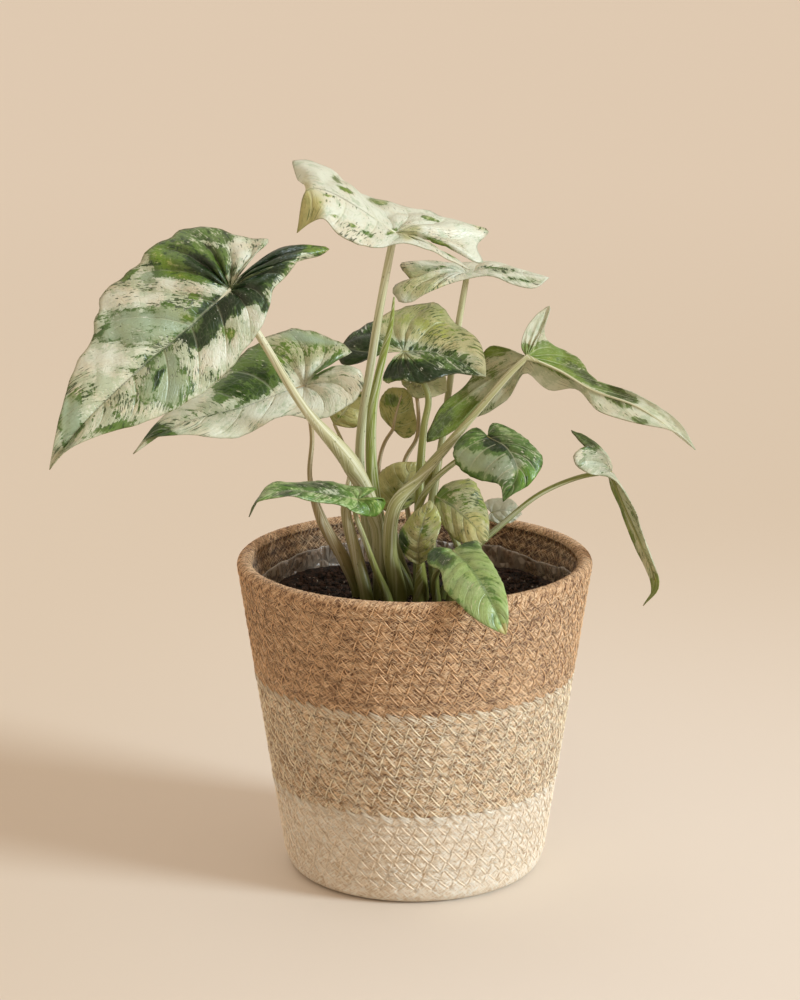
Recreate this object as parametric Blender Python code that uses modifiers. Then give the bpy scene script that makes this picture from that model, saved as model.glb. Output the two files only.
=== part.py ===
"""The potted alocasia: a variegated alocasia in a coiled rope basket, with its film liner and its soil.

Metres, +Z up, the photographed side towards -Y. The origin is the middle of the basket's base, on the floor.
Each leaf is one node: a stalk that stands in a plain hole in the soil, and the blade that it carries.
"""

import math
from collections import Counter
from dataclasses import dataclass

import bmesh
import bpy
import numpy as np

MM = 0.001
GAP = 0.3 * MM  # clear space between two pieces that touch

# Where the reference photograph was taken from, worked out from the basket's rim and base. Leaf points are
# measured in it, as (pixels right, pixels down, depth in mm), and seen() turns them into places.
CAMERA_BACK = 1699.4 * MM
CAMERA_HEIGHT = 657.6 * MM
CAMERA_TILT = math.radians(14.34)
CAMERA_FOCAL_PX = 3000.0
CAMERA_AXIS_PX = (414.67, 500.0)

# The basket
ROUND_SIDES = 30
WALL_TOP_RADIUS = 104.2 * MM
WALL_BASE_RADIUS = 75.6 * MM
WALL_THICKNESS = 7.0 * MM
BASKET_HEIGHT = 190.0 * MM
CREAM_TOP = 57.0 * MM
NATURAL_TOP = 121.0 * MM
RIM_RADIUS = 4.2 * MM
BASE_CORNER = 10.0 * MM
BASE_THICKNESS = 6.5 * MM
COIL_RELIEF = 0.8 * MM
CREAM_COILS = 8
NATURAL_COILS = 10
BROWN_COILS = 10

# The liner and the soil
FILM = 0.7 * MM
FILM_TOP = 175.0 * MM
FILM_FREE_FROM = 165.0 * MM
FILM_WAVES = ((7, 1.3 * MM, 0.4), (11, 0.8 * MM, 1.9))
FILM_EDGE_WAVES = ((3, 2.2 * MM, 2.4), (8, 1.2 * MM, 0.5))
SOIL_TOP = 162.0 * MM
SOIL_LUMPS = ((3, 2, 1.2 * MM, 0.7), (5, 3, 0.9 * MM, 2.1), (8, 2, 0.6 * MM, 4.0))
SOIL_RINGS = (12, 24, 36, 54, 72)  # mm
HOLE_DEPTH = 20.0 * MM
HOLE_CLEARANCE = 0.35 * MM

SHARP_FROM = math.radians(40)
THREAD_ROUNDS = 12
THREAD = 0.06 * MM  # edges and faces narrower than this are closed up after a union or a cut

# The leaves
BLADE = 0.75 * MM  # thickness
RIB_RADIUS = 0.95 * MM
RIB_TIP_RADIUS = 0.5 * MM
RIB_SHARE = 0.82  # how much of the midrib stands out under the blade
MARGIN_STEP = 13.0 * MM  # length of margin between two side rays of a blade
RAY_STEPS = 3
LOBE_AHEAD = 0.04  # a margin point less far ahead of the stalk than this belongs to a back lobe
MOST_SHOULDER = 0.62
STALK_POINTS = 7
STALK_RESOLUTION = 1
SPEAR_RESOLUTION = 2


@dataclass(frozen=True)
class Leaf:
    """One leaf. Points are (pixels right, pixels down, depth in mm) as seen() reads them."""

    name: str
    foot: tuple  # where it stands in the soil, in mm
    stalk: tuple  # points from the soil to the blade
    radii: tuple  # of the stalk in mm: at the foot, at each point, and under the blade
    rib: tuple  # the midrib, from the stalk to the leaf's tip
    far: tuple  # the margin from the notch round one back lobe to the tip
    near: tuple  # the same on the other side
    bulge: float = 0.08  # how far a half blade arches, as a share of its width
    ripple: tuple = (3, 1.2)  # waves along each margin, and their height in mm


LEAVES = (
    Leaf(
        "leaf_broad_left",
        (-20, 2),
        ((377, 525, -2), (352, 465, -21), (305, 409, -43), (262, 340, -62)),
        (5.0, 4.6, 6.0, 2.7, 2.3, 2.0),
        ((230, 290, -66), (182, 333, -78), (147, 362, -88), (88, 419, -104), (49, 470, -112)),
        ((240, 268, -56), (269, 240, -40), (248, 238, -38), (222, 229, -38), (192, 228, -42),
         (164, 241, -50), (145, 254, -56), (134, 269, -60), (104, 291, -66), (96, 318, -76), (92, 340, -80),
         (75, 368, -88), (60, 415, -104)),
        ((258, 262, -60), (289, 246, -54), (330, 248, -50), (312, 257, -56), (303, 256, -60), (285, 278, -62),
         (273, 292, -70), (267, 317, -76), (243, 352, -84), (204, 392, -94), (155, 419, -104),
         (97, 436, -112), (66, 451, -114)),
        0.07,
    ),
    Leaf(
        "leaf_low_left",
        (-33, 7),
        ((346, 562, 4), (322, 520, -1), (310, 478, -8), (312, 435, -12)),
        (4.6, 4.4, 3.6, 1.6, 1.5, 1.4),
        ((304, 386, -12), (286, 391, -16), (245, 406, -24), (178, 425, -38), (133, 454, -44)),
        ((315, 364, -4), (352, 352, 4), (321, 334, 10), (286, 331, 12), (250, 348, 4), (210, 385, -14),
         (160, 419, -34)),
        ((335, 366, -16), (361, 371, -20), (360, 393, -20), (321, 420, -23), (283, 416, -26),
         (235, 438, -36), (180, 435, -44), (150, 438, -46)),
    ),
    Leaf(
        "leaf_high_middle",
        (-15, 15),
        ((373, 545, 18), (360, 460, 17), (373, 351, 12), (384, 285, 8)),
        (4.8, 4.2, 3.2, 2.7, 2.5, 2.2),
        ((394, 233, 4), (362, 210, 2), (325, 190, -4), (307, 190, -10), (297, 233, -16)),
        ((418, 232, 4), (450, 250, 8), (483, 261, 12), (477, 247, 22), (487, 231, 34), (470, 226, 38),
         (432, 214, 42), (394, 203, 44), (357, 191, 44), (330, 170, 40), (293, 161, 30), (301, 183, 6)),
        ((416, 239, -4), (440, 251, -3), (470, 270, 0), (455, 264, -8), (428, 250, -11), (404, 242, -11),
         (369, 248, -18), (340, 236, -22), (324, 219, -20), (312, 222, -18)),
        0.05,
    ),
    Leaf(
        "leaf_high_right",
        (12, 14),
        ((431, 520, 24), (443, 435, 34), (451, 375, 44), (460, 315, 52)),
        (3.4, 3.2, 2.3, 2.2, 2.1, 1.8),
        ((467, 274, 56), (487, 269, 56), (515, 272, 54), (549, 278, 50)),
        ((455, 279, 50), (437, 284, 48), (415, 281, 50), (400, 266, 56), (420, 262, 66), (448, 262, 72),
         (485, 262, 74), (515, 268, 64), (540, 275, 56)),
        ((452, 280, 46), (425, 284, 42), (400, 283, 40), (392, 292, 36), (405, 304, 30), (425, 295, 33),
         (445, 284, 40), (470, 278, 46), (494, 278, 45), (512, 284, 43), (535, 288, 44)),
        0.08,
    ),
    Leaf(
        "leaf_centre",
        (2, 16),
        ((420, 478, 20), (424, 427, 21), (428, 395, 25)),
        (3.4, 2.9, 2.3, 2.1, 1.9),
        ((404, 352, 30), (430, 352, 30), (462, 363, 22), (486, 377, 13)),
        ((388, 346, 34), (362, 362, 30), (341, 364, 30), (343, 342, 38), (373, 323, 46), (405, 306, 54),
         (438, 304, 56), (453, 322, 48), (478, 340, 34), (485, 360, 22)),
        ((392, 360, 24), (383, 380, 19), (404, 382, 12), (430, 381, 8), (457, 374, 14)),
        0.08,
    ),
    Leaf(
        "leaf_under_centre",
        (3, 33),
        ((404, 465, 34), (417, 437, 34), (418, 407, 35)),
        (1.9, 1.6, 1.3, 1.2, 1.1),
        ((415, 388, 38), (428, 384, 38), (447, 392, 36)),
        ((406, 372, 44), (425, 366, 46), (444, 374, 42)),
        ((402, 378, 38), (408, 393, 32), (428, 398, 31)),
    ),
    Leaf(
        "leaf_far_right",
        (-9, -4),
        ((390, 545, -11), (396, 505, -10), (418, 480, -3), (474, 415, 6), (510, 373, 9)),
        (5.6, 4.6, 4.6, 3.8, 2.3, 2.1, 1.9),
        ((527, 357, 12), (560, 371, 10), (592, 390, 4), (640, 408, -6), (696, 450, -16)),
        ((521, 345, 18), (530, 322, 24), (550, 306, 28), (545, 336, 22), (577, 357, 22), (597, 381, 12),
         (634, 393, 2), (679, 422, -8)),
        ((505, 348, 20), (487, 348, 31), (470, 380, 31), (440, 408, 28), (428, 442, 24), (470, 421, 24),
         (507, 400, 22), (526, 372, 18), (549, 390, 16), (576, 389, 12), (598, 410, -6), (640, 424, -16),
         (677, 433, -20)),
        0.07,
    ),
    Leaf(
        "leaf_dark_right",
        (6, 2),
        ((418, 512, 0), (432, 483, -1), (458, 460, -2), (478, 447, -4)),
        (2.9, 2.6, 1.9, 1.7, 1.6, 1.4),
        ((488, 437, -8), (508, 449, -22), (518, 472, -32), (503, 502, -36)),
        ((492, 424, -2), (510, 428, -8), (533, 446, -20), (543, 460, -26), (530, 484, -34), (513, 494, -37)),
        ((476, 428, -4), (455, 444, -8), (457, 465, -16), (481, 481, -26), (500, 485, -34)),
        0.10,
    ),
    Leaf(
        "leaf_drooping_right",
        (17, 2),
        ((468, 556, 2), (506, 521, 4), (540, 494, 6), (580, 477, 8)),
        (3.0, 2.4, 1.8, 1.6, 1.5, 1.3),
        ((611, 472, 8), (622, 500, 2), (640, 540, -6), (655, 583, -12), (643, 606, -14)),
        ((609, 458, 14), (583, 434, 22), (570, 431, 24), (590, 450, 12), (606, 466, 12), (612, 492, 12),
         (632, 540, 4), (648, 578, -4)),
        ((603, 454, 2), (583, 447, -8), (572, 460, -10), (590, 473, -4), (612, 478, -2), (628, 500, -10),
         (646, 545, -18), (659, 586, -20)),
        0.06,
        (2, 0.8),
    ),
    Leaf(
        "leaf_small_left",
        (-15, -14),
        ((376, 570, -20), (363, 535, -29), (355, 512, -36)),
        (3.0, 2.2, 1.7, 1.5, 1.3),
        ((357, 500, -40), (335, 495, -44), (290, 491, -54), (260, 497, -60), (249, 517, -64)),
        ((372, 492, -34), (377, 489, -30), (350, 485, -28), (327, 483, -30), (300, 481, -36), (266, 488, -50)),
        ((372, 500, -42), (386, 500, -40), (378, 515, -42), (358, 514, -46), (330, 503, -54), (286, 498, -64),
         (256, 502, -66)),
        0.08,
    ),
    Leaf(
        "leaf_over_rim",
        (13, -13),
        ((435, 578, -24), (444, 562, -40)),
        (3.0, 2.1, 1.6, 1.3),
        ((453, 551, -56), (470, 566, -80), (489, 596, -108), (506, 635, -117)),
        ((463, 548, -52), (476, 541, -48), (484, 553, -66), (499, 575, -92), (508, 606, -112), (508, 626, -116)),
        ((442, 548, -54), (430, 551, -58), (427, 560, -64), (440, 572, -80), (446, 590, -100),
         (470, 615, -114), (492, 629, -118)),
        0.10,
    ),
    Leaf(
        "leaf_pale_right",
        (21, -8),
        ((462, 560, -8), (450, 530, -4), (438, 510, -4)),
        (3.0, 2.4, 1.8, 1.6, 1.4),
        ((436, 497, -6), (452, 505, -12), (470, 521, -20), (488, 541, -26)),
        ((446, 484, 2), (470, 480, 2), (483, 498, -6), (489, 525, -18)),
        ((436, 508, -12), (446, 530, -18), (462, 543, -25), (478, 546, -27)),
    ),
    Leaf(
        "leaf_spotted",
        (3, -10),
        ((421, 583, -14),),
        (4.6, 4.0, 2.4),
        ((420, 564, -20), (418, 545, -26), (423, 521, -27), (430, 500, -22)),
        ((409, 560, -22), (401, 548, -22), (400, 532, -22), (412, 515, -22)),
        ((430, 556, -26), (437, 538, -28), (441, 524, -27), (438, 510, -25)),
    ),
    Leaf(
        "leaf_brown_left",
        (-28, -7),
        ((358, 560, -4), (346, 510, 2), (350, 470, 12), (344, 446, 20)),
        (4.4, 4.2, 3.4, 1.3, 1.1, 1.0),
        ((334, 424, 24), (345, 410, 26), (362, 392, 30)),
        ((328, 410, 30), (338, 396, 34), (352, 384, 36)),
        ((344, 427, 24), (358, 426, 24), (366, 406, 28)),
    ),
    Leaf(
        "leaf_brown_middle",
        (-20, 26),
        ((379, 530, 32), (379, 465, 38), (384, 444, 40)),
        (2.4, 1.8, 1.3, 1.2, 1.1),
        ((393, 429, 42), (396, 414, 42), (400, 400, 42), (404, 388, 40)),
        ((384, 420, 44), (379, 405, 44), (388, 389, 44)),
        ((404, 438, 43), (416, 432, 43), (414, 408, 43), (411, 394, 42)),
    ),
    Leaf(
        "leaf_pale_behind",
        (22, 12),
        ((472, 545, 14), (485, 525, 16)),
        (2.4, 1.9, 1.5, 1.3),
        ((492, 513, 18), (503, 510, 16), (522, 514, 12)),
        ((484, 503, 24), (494, 499, 26), (512, 500, 22)),
        ((488, 519, 14), (500, 524, 10), (512, 522, 9)),
    ),
    Leaf(
        "leaf_grey_behind",
        (-3, 26),
        ((402, 560, 27), (394, 530, 28)),
        (2.6, 2.2, 1.9, 1.6),
        ((394, 512, 28), (400, 492, 28), (408, 475, 28), (414, 462, 30)),
        ((384, 510, 28), (378, 492, 28), (380, 473, 30), (396, 463, 32)),
        ((406, 508, 29), (424, 494, 31), (434, 474, 32), (427, 462, 33)),
    ),
)

# The newest leaf is still rolled up, so it's a spear with no blade.
SPEAR_NAME = "leaf_rolled"
SPEAR_FOOT = (-4, 10)
SPEAR_POINTS = ((386, 545, 10), (372, 472, 8), (372, 411, 3), (376, 387, 2), (383, 357, 1), (391, 325, 0),
                (394, 297, 0))
SPEAR_RADII = (3.8, 3.6, 3.6, 3.0, 2.7, 2.5, 1.6, 0.5)


def seen(point):
    """The place in the room of a point of the photograph, at its depth behind the basket's axis."""
    right, down, depth = point
    across = (right - CAMERA_AXIS_PX[0]) / CAMERA_FOCAL_PX
    drop = (down - CAMERA_AXIS_PX[1]) / CAMERA_FOCAL_PX
    cosine, sine = math.cos(CAMERA_TILT), math.sin(CAMERA_TILT)
    ray = np.array([across, cosine - drop * sine, -sine - drop * cosine])
    reach = (depth * MM + CAMERA_BACK) / ray[1]
    return np.array([0, -CAMERA_BACK, CAMERA_HEIGHT]) + ray * reach


def smooth_curve(points, count):
    """count + 1 points, evenly spaced along a curve that runs through the given points."""
    points = np.asarray(points, float)
    ends = np.vstack([2 * points[0] - points[1], points, 2 * points[-1] - points[-2]])
    knots = np.concatenate([[0], np.cumsum(np.sqrt(np.linalg.norm(np.diff(ends, axis=0), axis=1)))])
    dense = []
    for i in range(len(points) - 1):
        p, t = ends[i : i + 4], knots[i : i + 4]
        at = np.linspace(t[1], t[2], 24, endpoint=False)[:, None]
        a = [(t[k + 1] - at) / (t[k + 1] - t[k]) * p[k] + (at - t[k]) / (t[k + 1] - t[k]) * p[k + 1]
             for k in range(3)]
        b = [(t[k + 2] - at) / (t[k + 2] - t[k]) * a[k] + (at - t[k]) / (t[k + 2] - t[k]) * a[k + 1]
             for k in range(2)]
        dense.append((t[2] - at) / (t[2] - t[1]) * b[0] + (at - t[1]) / (t[2] - t[1]) * b[1])
    dense = np.vstack([*dense, points[-1:]])
    along = np.concatenate([[0], np.cumsum(np.linalg.norm(np.diff(dense, axis=0), axis=1))])
    wanted = np.linspace(0, along[-1], count + 1)
    return np.stack([np.interp(wanted, along, dense[:, k]) for k in range(3)], axis=1)


def length_of(points):
    return float(np.linalg.norm(np.diff(points, axis=0), axis=1).sum())


def unit(vector):
    return vector / max(float(np.linalg.norm(vector)), 1e-9)


def upper_side(leaf):
    """The direction that the blade's upper face looks in, where the stalk meets it: away from the stalk."""
    rib = [seen(p) for p in leaf.rib]
    across = seen(leaf.far[len(leaf.far) // 2]) - seen(leaf.near[len(leaf.near) // 2])
    normal = unit(np.cross(rib[-1] - rib[0], across))
    towards_stalk = seen(leaf.stalk[-1]) - rib[0]
    return normal if normal @ towards_stalk < 0 else -normal


def margin_of(leaf, side, rays):
    """One margin of a blade: rays + 1 points from the stalk round the back lobe to the tip."""
    return smooth_curve([seen(p) for p in (leaf.rib[0], *side, leaf.rib[-1])], rays)


def shoulder_of(leaf, rays):
    """How far along the margins the back lobes end, as a share: rays up to there start at the stalk."""
    start = seen(leaf.rib[0])
    chord = seen(leaf.rib[-1]) - start
    last = 0
    for side in (leaf.far, leaf.near):
        ahead = (margin_of(leaf, side, rays) - start) @ chord / (chord @ chord)
        last = max([last, *(i for i in range(rays) if ahead[i] < LOBE_AHEAD)])
    return min(last / rays, MOST_SHOULDER)


def half_blade(leaf, side, up, rays, steps):
    """Rows of points over one half of a blade: one row for each ray from the midrib to the margin."""
    rib = smooth_curve([seen(p) for p in leaf.rib], 60)
    margin = margin_of(leaf, side, rays)
    shoulder = shoulder_of(leaf, rays)
    waves, height = leaf.ripple
    rows = []
    for i, edge in enumerate(margin):
        share = max(0.0, (i / rays - shoulder) / (1 - shoulder)) ** 1.15
        root = rib[min(60, round(share * 60))]
        ray = edge - root
        width = float(np.linalg.norm(ray))
        normal = unit(up - unit(ray) * float(up @ unit(ray)))
        taper = math.sin(math.pi * i / rays)
        wave = height * MM * taper * math.sin(2 * math.pi * waves * i / rays)
        row = []
        for k in range(steps + 1):
            w = k / steps
            lift = leaf.bulge * width * 4 * w * (1 - w) + wave * w * w
            row.append(root + ray * w + normal * lift)
        rows.append(row)
    return rows


def blade_mesh(name, leaf):
    """The open sheet of a blade, split into triangles, and then made solid."""
    up = upper_side(leaf)
    built = bmesh.new()
    places = {}

    def corner(point):
        key = tuple(np.round(point / (0.02 * MM)).astype(int))
        if key not in places:
            places[key] = built.verts.new(point)
        return places[key]

    reach = max(length_of([seen(p) for p in side]) for side in (leaf.far, leaf.near))
    rays = max(6, round(reach / MARGIN_STEP) + 2)
    steps = RAY_STEPS if reach > 60 * MM else RAY_STEPS - 1
    for side, turn in ((leaf.far, False), (leaf.near, True)):
        rows = [[corner(p) for p in row] for row in half_blade(leaf, side, up, rays, steps)]
        for here, there in zip(rows, rows[1:]):
            for a, b, c, d in zip(here, there, there[1:], here[1:]):
                for trio in ((a, b, c), (a, c, d)):
                    if len(set(trio)) == 3:
                        built.faces.new(trio[::-1] if turn else trio)
    mesh = bpy.data.meshes.new(name)
    built.to_mesh(mesh)
    built.free()
    blade = bpy.data.objects.new(name, mesh)
    solid = blade.modifiers.new("thickness", "SOLIDIFY")
    solid.thickness = BLADE
    solid.offset = 0
    return blade


def stalk_path(leaf):
    """Points and radii of a stalk, from its hole in the soil to the blade and on under the midrib."""
    up = upper_side(leaf)
    knots = [foot_at(leaf.foot, -HOLE_DEPTH), foot_at(leaf.foot, 3 * MM)]
    radii = [leaf.radii[0], leaf.radii[0], *leaf.radii[1:]]
    knots += [seen(p) for p in leaf.stalk]
    rib = smooth_curve([seen(p) for p in leaf.rib], 20)
    knots.append(rib[0] - up * RIB_RADIUS * 0.6)
    path = smooth_curve(knots, STALK_POINTS + len(leaf.stalk))
    spans = np.concatenate([[0], np.cumsum(np.linalg.norm(np.diff(np.array(knots), axis=0), axis=1))])
    along = np.linspace(0, spans[-1], len(path))
    widths = list(np.interp(along, spans, np.array(radii) * MM))
    under = rib[2 : 1 + round(20 * RIB_SHARE) : 3]
    path = np.vstack([path, under - up * RIB_RADIUS * 0.6])
    widths += list(np.linspace(RIB_RADIUS, RIB_TIP_RADIUS, len(under)))
    return path, widths


def foot_at(foot, rise):
    """A point on the line of a stalk's foot, at a rise above the soil."""
    return np.array([foot[0] * MM, foot[1] * MM, SOIL_TOP + rise])


def tube(name, path, radii, resolution=STALK_RESOLUTION, extra=0.0):
    """A closed tube along the path, as a mesh object."""
    curve = bpy.data.curves.new(name, "CURVE")
    curve.dimensions = "3D"
    curve.bevel_depth = 1.0
    curve.bevel_resolution = resolution
    curve.use_fill_caps = True
    line = curve.splines.new("POLY")
    line.points.add(len(path) - 1)
    for point, place, radius in zip(line.points, path, radii):
        point.co = (*place, 1)
        point.radius = radius + extra
    guide = bpy.data.objects.new(name, curve)
    bpy.context.scene.collection.objects.link(guide)
    bpy.context.view_layer.update()
    mesh = bpy.data.meshes.new_from_object(guide.evaluated_get(bpy.context.evaluated_depsgraph_get()))
    placed = guide.matrix_world.copy()
    bpy.data.objects.remove(guide)
    made = bpy.data.objects.new(name, mesh)
    made.matrix_world = placed
    welded = bmesh.new()
    welded.from_mesh(mesh)
    bmesh.ops.remove_doubles(welded, verts=welded.verts, dist=0.01 * MM)
    bmesh.ops.recalc_face_normals(welded, faces=welded.faces)
    welded.to_mesh(mesh)
    welded.free()
    return made


def apply_modifiers(thing):
    """Gives the object the mesh that its modifiers make, and takes the modifiers off."""
    bpy.context.view_layer.update()
    graph = bpy.context.evaluated_depsgraph_get()
    mesh = bpy.data.meshes.new_from_object(thing.evaluated_get(graph))
    thing.modifiers.clear()
    thing.data = mesh
    return thing


def join(base, others, operation, solver="EXACT"):
    """Joins the other objects to the base, or cuts them from it, and removes them."""
    group = bpy.data.collections.new(base.name + "_others")
    for other in others:
        for owner in tuple(other.users_collection):
            owner.objects.unlink(other)
        group.objects.link(other)
    bpy.context.scene.collection.children.link(group)
    boolean = base.modifiers.new("join", "BOOLEAN")
    boolean.operation = operation
    boolean.operand_type = "COLLECTION"
    boolean.collection = group
    boolean.solver = solver
    apply_modifiers(base)
    for other in others:
        bpy.data.objects.remove(other)
    bpy.data.collections.remove(group)
    return base


def narrowness(face):
    """The smallest height of a triangle, and the edge that it stands on."""
    longest = max(face.edges, key=lambda edge: edge.calc_length())
    return 2 * face.calc_area() / max(longest.calc_length(), 1e-9), longest


def can_close(edge):
    """Whether an edge's two ends can become one point with the mesh still closed."""
    first, second = edge.verts
    shared = {e.other_vert(first) for e in first.link_edges} & {e.other_vert(second) for e in second.link_edges}
    return len(edge.link_faces) == 2 and len(shared) == 2


def close_short_edges(built):
    """Closes every edge shorter than THREAD, the shortest first. Says whether there was one."""
    closed_any = False
    while True:
        short = [e for e in built.edges if e.calc_length() < THREAD and can_close(e)]
        if not short:
            return closed_any
        first, second = min(short, key=lambda edge: edge.calc_length()).verts
        bmesh.ops.pointmerge(built, verts=[first, second], merge_co=(first.co + second.co) / 2)
        closed_any = True


def turn_narrow_faces(built):
    """Turns the long edge of each face narrower than THREAD, where that widens it. Says whether one turned."""
    turned_any = False
    for face in list(built.faces):
        if not face.is_valid:
            continue
        height, longest = narrowness(face)
        tips = [v for near in longest.link_faces for v in near.verts if v not in longest.verts]
        if height >= THREAD or len(tips) != 2 or tips[1] in {e.other_vert(tips[0]) for e in tips[0].link_edges}:
            continue
        before = min(narrowness(near)[0] for near in longest.link_faces)
        fresh = bmesh.utils.edge_rotate(longest, True)
        if fresh is not None and min(narrowness(near)[0] for near in fresh.link_faces) < before:
            bmesh.utils.edge_rotate(fresh, False)
        elif fresh is not None:
            turned_any = True
    return turned_any


def close_threads(thing):
    """Closes up the threads that a union or a cut leaves, which a STEP file can't hold."""
    thing.data.calc_loop_triangles()
    trios = [tuple(triangle.vertices) for triangle in thing.data.loop_triangles]
    # Two such triangles back to back are a fold with nothing in it.
    copies = Counter(frozenset(trio) for trio in trios)
    mesh = bpy.data.meshes.new(thing.name)
    places = [tuple(vertex.co) for vertex in thing.data.vertices]
    mesh.from_pydata(places, [], [trio for trio in trios if copies[frozenset(trio)] == 1])
    built = bmesh.new()
    built.from_mesh(mesh)
    for _ in range(THREAD_ROUNDS):
        if not (close_short_edges(built) | turn_narrow_faces(built)):
            break
    bmesh.ops.delete(built, geom=[v for v in built.verts if not v.link_faces], context="VERTS")
    built.to_mesh(mesh)
    built.free()
    thing.data = mesh
    return thing


def leaf_node(leaf, home):
    """One leaf: its stalk and rib joined to its blade."""
    blade = blade_mesh(leaf.name, leaf)
    home.objects.link(blade)
    apply_modifiers(blade)
    closed = bmesh.new()
    closed.from_mesh(blade.data)
    bmesh.ops.recalc_face_normals(closed, faces=closed.faces)
    closed.to_mesh(blade.data)
    closed.free()
    path, radii = stalk_path(leaf)
    stalk = tube(leaf.name + "_stalk", path, radii)
    # EXACT loses most of these thin blades.
    return close_threads(join(blade, [stalk], "UNION", "MANIFOLD"))


def spear_path():
    """Points and radii of the rolled leaf."""
    knots = [foot_at(SPEAR_FOOT, -HOLE_DEPTH), foot_at(SPEAR_FOOT, 3 * MM), *[seen(p) for p in SPEAR_POINTS]]
    radii = [SPEAR_RADII[0], *SPEAR_RADII]
    path = smooth_curve(knots, 16)
    spans = np.concatenate([[0], np.cumsum(np.linalg.norm(np.diff(np.array(knots), axis=0), axis=1))])
    return path, list(np.interp(np.linspace(0, spans[-1], 17), spans, np.array(radii) * MM))


def turned(name, profile, home):
    """A solid of revolution about the Z axis. The profile is (radius, height), closed round the ring's section
    or running from the axis at the top to the axis at the bottom."""
    mesh = bpy.data.meshes.new(name)
    on_axis = profile[0][0] == 0
    points = [(radius, 0, height) for radius, height in profile]
    edges = [(i, i + 1) for i in range(len(points) - 1)]
    if not on_axis:
        edges.append((len(points) - 1, 0))
    mesh.from_pydata(points, edges, [])
    made = bpy.data.objects.new(name, mesh)
    home.objects.link(made)
    screw = made.modifiers.new("turn", "SCREW")
    screw.steps = ROUND_SIDES
    screw.render_steps = ROUND_SIDES
    screw.use_merge_vertices = True
    screw.merge_threshold = 0.00001
    apply_modifiers(made)
    tidy = bmesh.new()
    tidy.from_mesh(made.data)
    bmesh.ops.remove_doubles(tidy, verts=tidy.verts, dist=0.01 * MM)
    bmesh.ops.recalc_face_normals(tidy, faces=tidy.faces)
    tidy.to_mesh(made.data)
    tidy.free()
    return made


def wall_radius(height):
    """The outer radius of the basket's wall at a height, in the grooves between its coils."""
    return WALL_BASE_RADIUS + (WALL_TOP_RADIUS - WALL_BASE_RADIUS) * height / BASKET_HEIGHT


def coils(low, high, count):
    """Points down the outside of a band: a groove, a crest, a groove and so on, one crest for each coil."""
    pitch = (high - low) / count
    points = [(wall_radius(high), high)]
    for i in range(count):
        top = high - i * pitch
        points.append((wall_radius(top - pitch / 2) + COIL_RELIEF, top - pitch / 2))
        points.append((wall_radius(top - pitch), top - pitch))
    return points


def arc(centre, radius, start, end, count):
    """Points on an arc, its angles in degrees from outwards, anticlockwise."""
    angles = [math.radians(start + (end - start) * i / count) for i in range(count + 1)]
    return [(centre[0] + radius * math.cos(a), centre[1] + radius * math.sin(a)) for a in angles]


def cream_band(home):
    """The base and the lowest band of the basket, in pale rope."""
    low = BASE_CORNER
    corner = (wall_radius(low) - BASE_CORNER, low)
    outside = coils(low, CREAM_TOP, CREAM_COILS)
    rounded = arc(corner, BASE_CORNER, 0, -90, 4)[1:]
    inside = [(0, BASE_THICKNESS), (wall_radius(0) - WALL_THICKNESS, BASE_THICKNESS),
              (wall_radius(CREAM_TOP) - WALL_THICKNESS, CREAM_TOP)]
    return turned("basket_cream", [*inside, *outside, *rounded, (0, 0)], home)


def natural_band(home):
    """The middle band of the basket, in natural rope."""
    low, high = CREAM_TOP + GAP, NATURAL_TOP
    inside = [(wall_radius(low) - WALL_THICKNESS, low), (wall_radius(high) - WALL_THICKNESS, high)]
    return turned("basket_natural", [*inside, *coils(low, high, NATURAL_COILS)], home)


def brown_band(home):
    """The top band of the basket with its rounded rim, in brown rope."""
    low, high = NATURAL_TOP + GAP, BASKET_HEIGHT - RIM_RADIUS
    inside = [(wall_radius(low) - WALL_THICKNESS, low), (wall_radius(high) - WALL_THICKNESS, high)]
    rim_centre = (wall_radius(high) + COIL_RELIEF - RIM_RADIUS, high)
    rim = arc(rim_centre, RIM_RADIUS, 170, 20, 5)
    return turned("basket_brown", [*inside, *rim, *coils(low, high, BROWN_COILS)], home)


def ring_of(radius_at, height_at):
    """A ring of points round the Z axis."""
    ring = []
    for i in range(ROUND_SIDES):
        angle = 2 * math.pi * i / ROUND_SIDES
        radius = radius_at(angle)
        ring.append((radius * math.cos(angle), radius * math.sin(angle), height_at(angle)))
    return ring


def stack(name, rings, bottom, top, home):
    """A closed solid from rings of points, from the bottom centre to the top centre."""
    built = bmesh.new()
    rows = [[built.verts.new(p) for p in ring] for ring in rings]
    for lower, upper in zip(rows, rows[1:]):
        for i in range(ROUND_SIDES):
            j = (i + 1) % ROUND_SIDES
            built.faces.new((lower[i], lower[j], upper[j]))
            built.faces.new((lower[i], upper[j], upper[i]))
    for row, place, turn in ((rows[0], bottom, True), (rows[-1], top, False)):
        centre = built.verts.new(place)
        for i in range(ROUND_SIDES):
            pair = (row[i], row[(i + 1) % ROUND_SIDES])
            built.faces.new((*(pair[::-1] if turn else pair), centre))
    bmesh.ops.recalc_face_normals(built, faces=built.faces)
    mesh = bpy.data.meshes.new(name)
    built.to_mesh(mesh)
    built.free()
    made = bpy.data.objects.new(name, mesh)
    home.objects.link(made)
    return made


def inner_radius(height):
    return wall_radius(height) - WALL_THICKNESS


def wave_sum(waves, angle):
    return sum(size * math.sin(count * angle + phase) for count, size, phase in waves)


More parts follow.
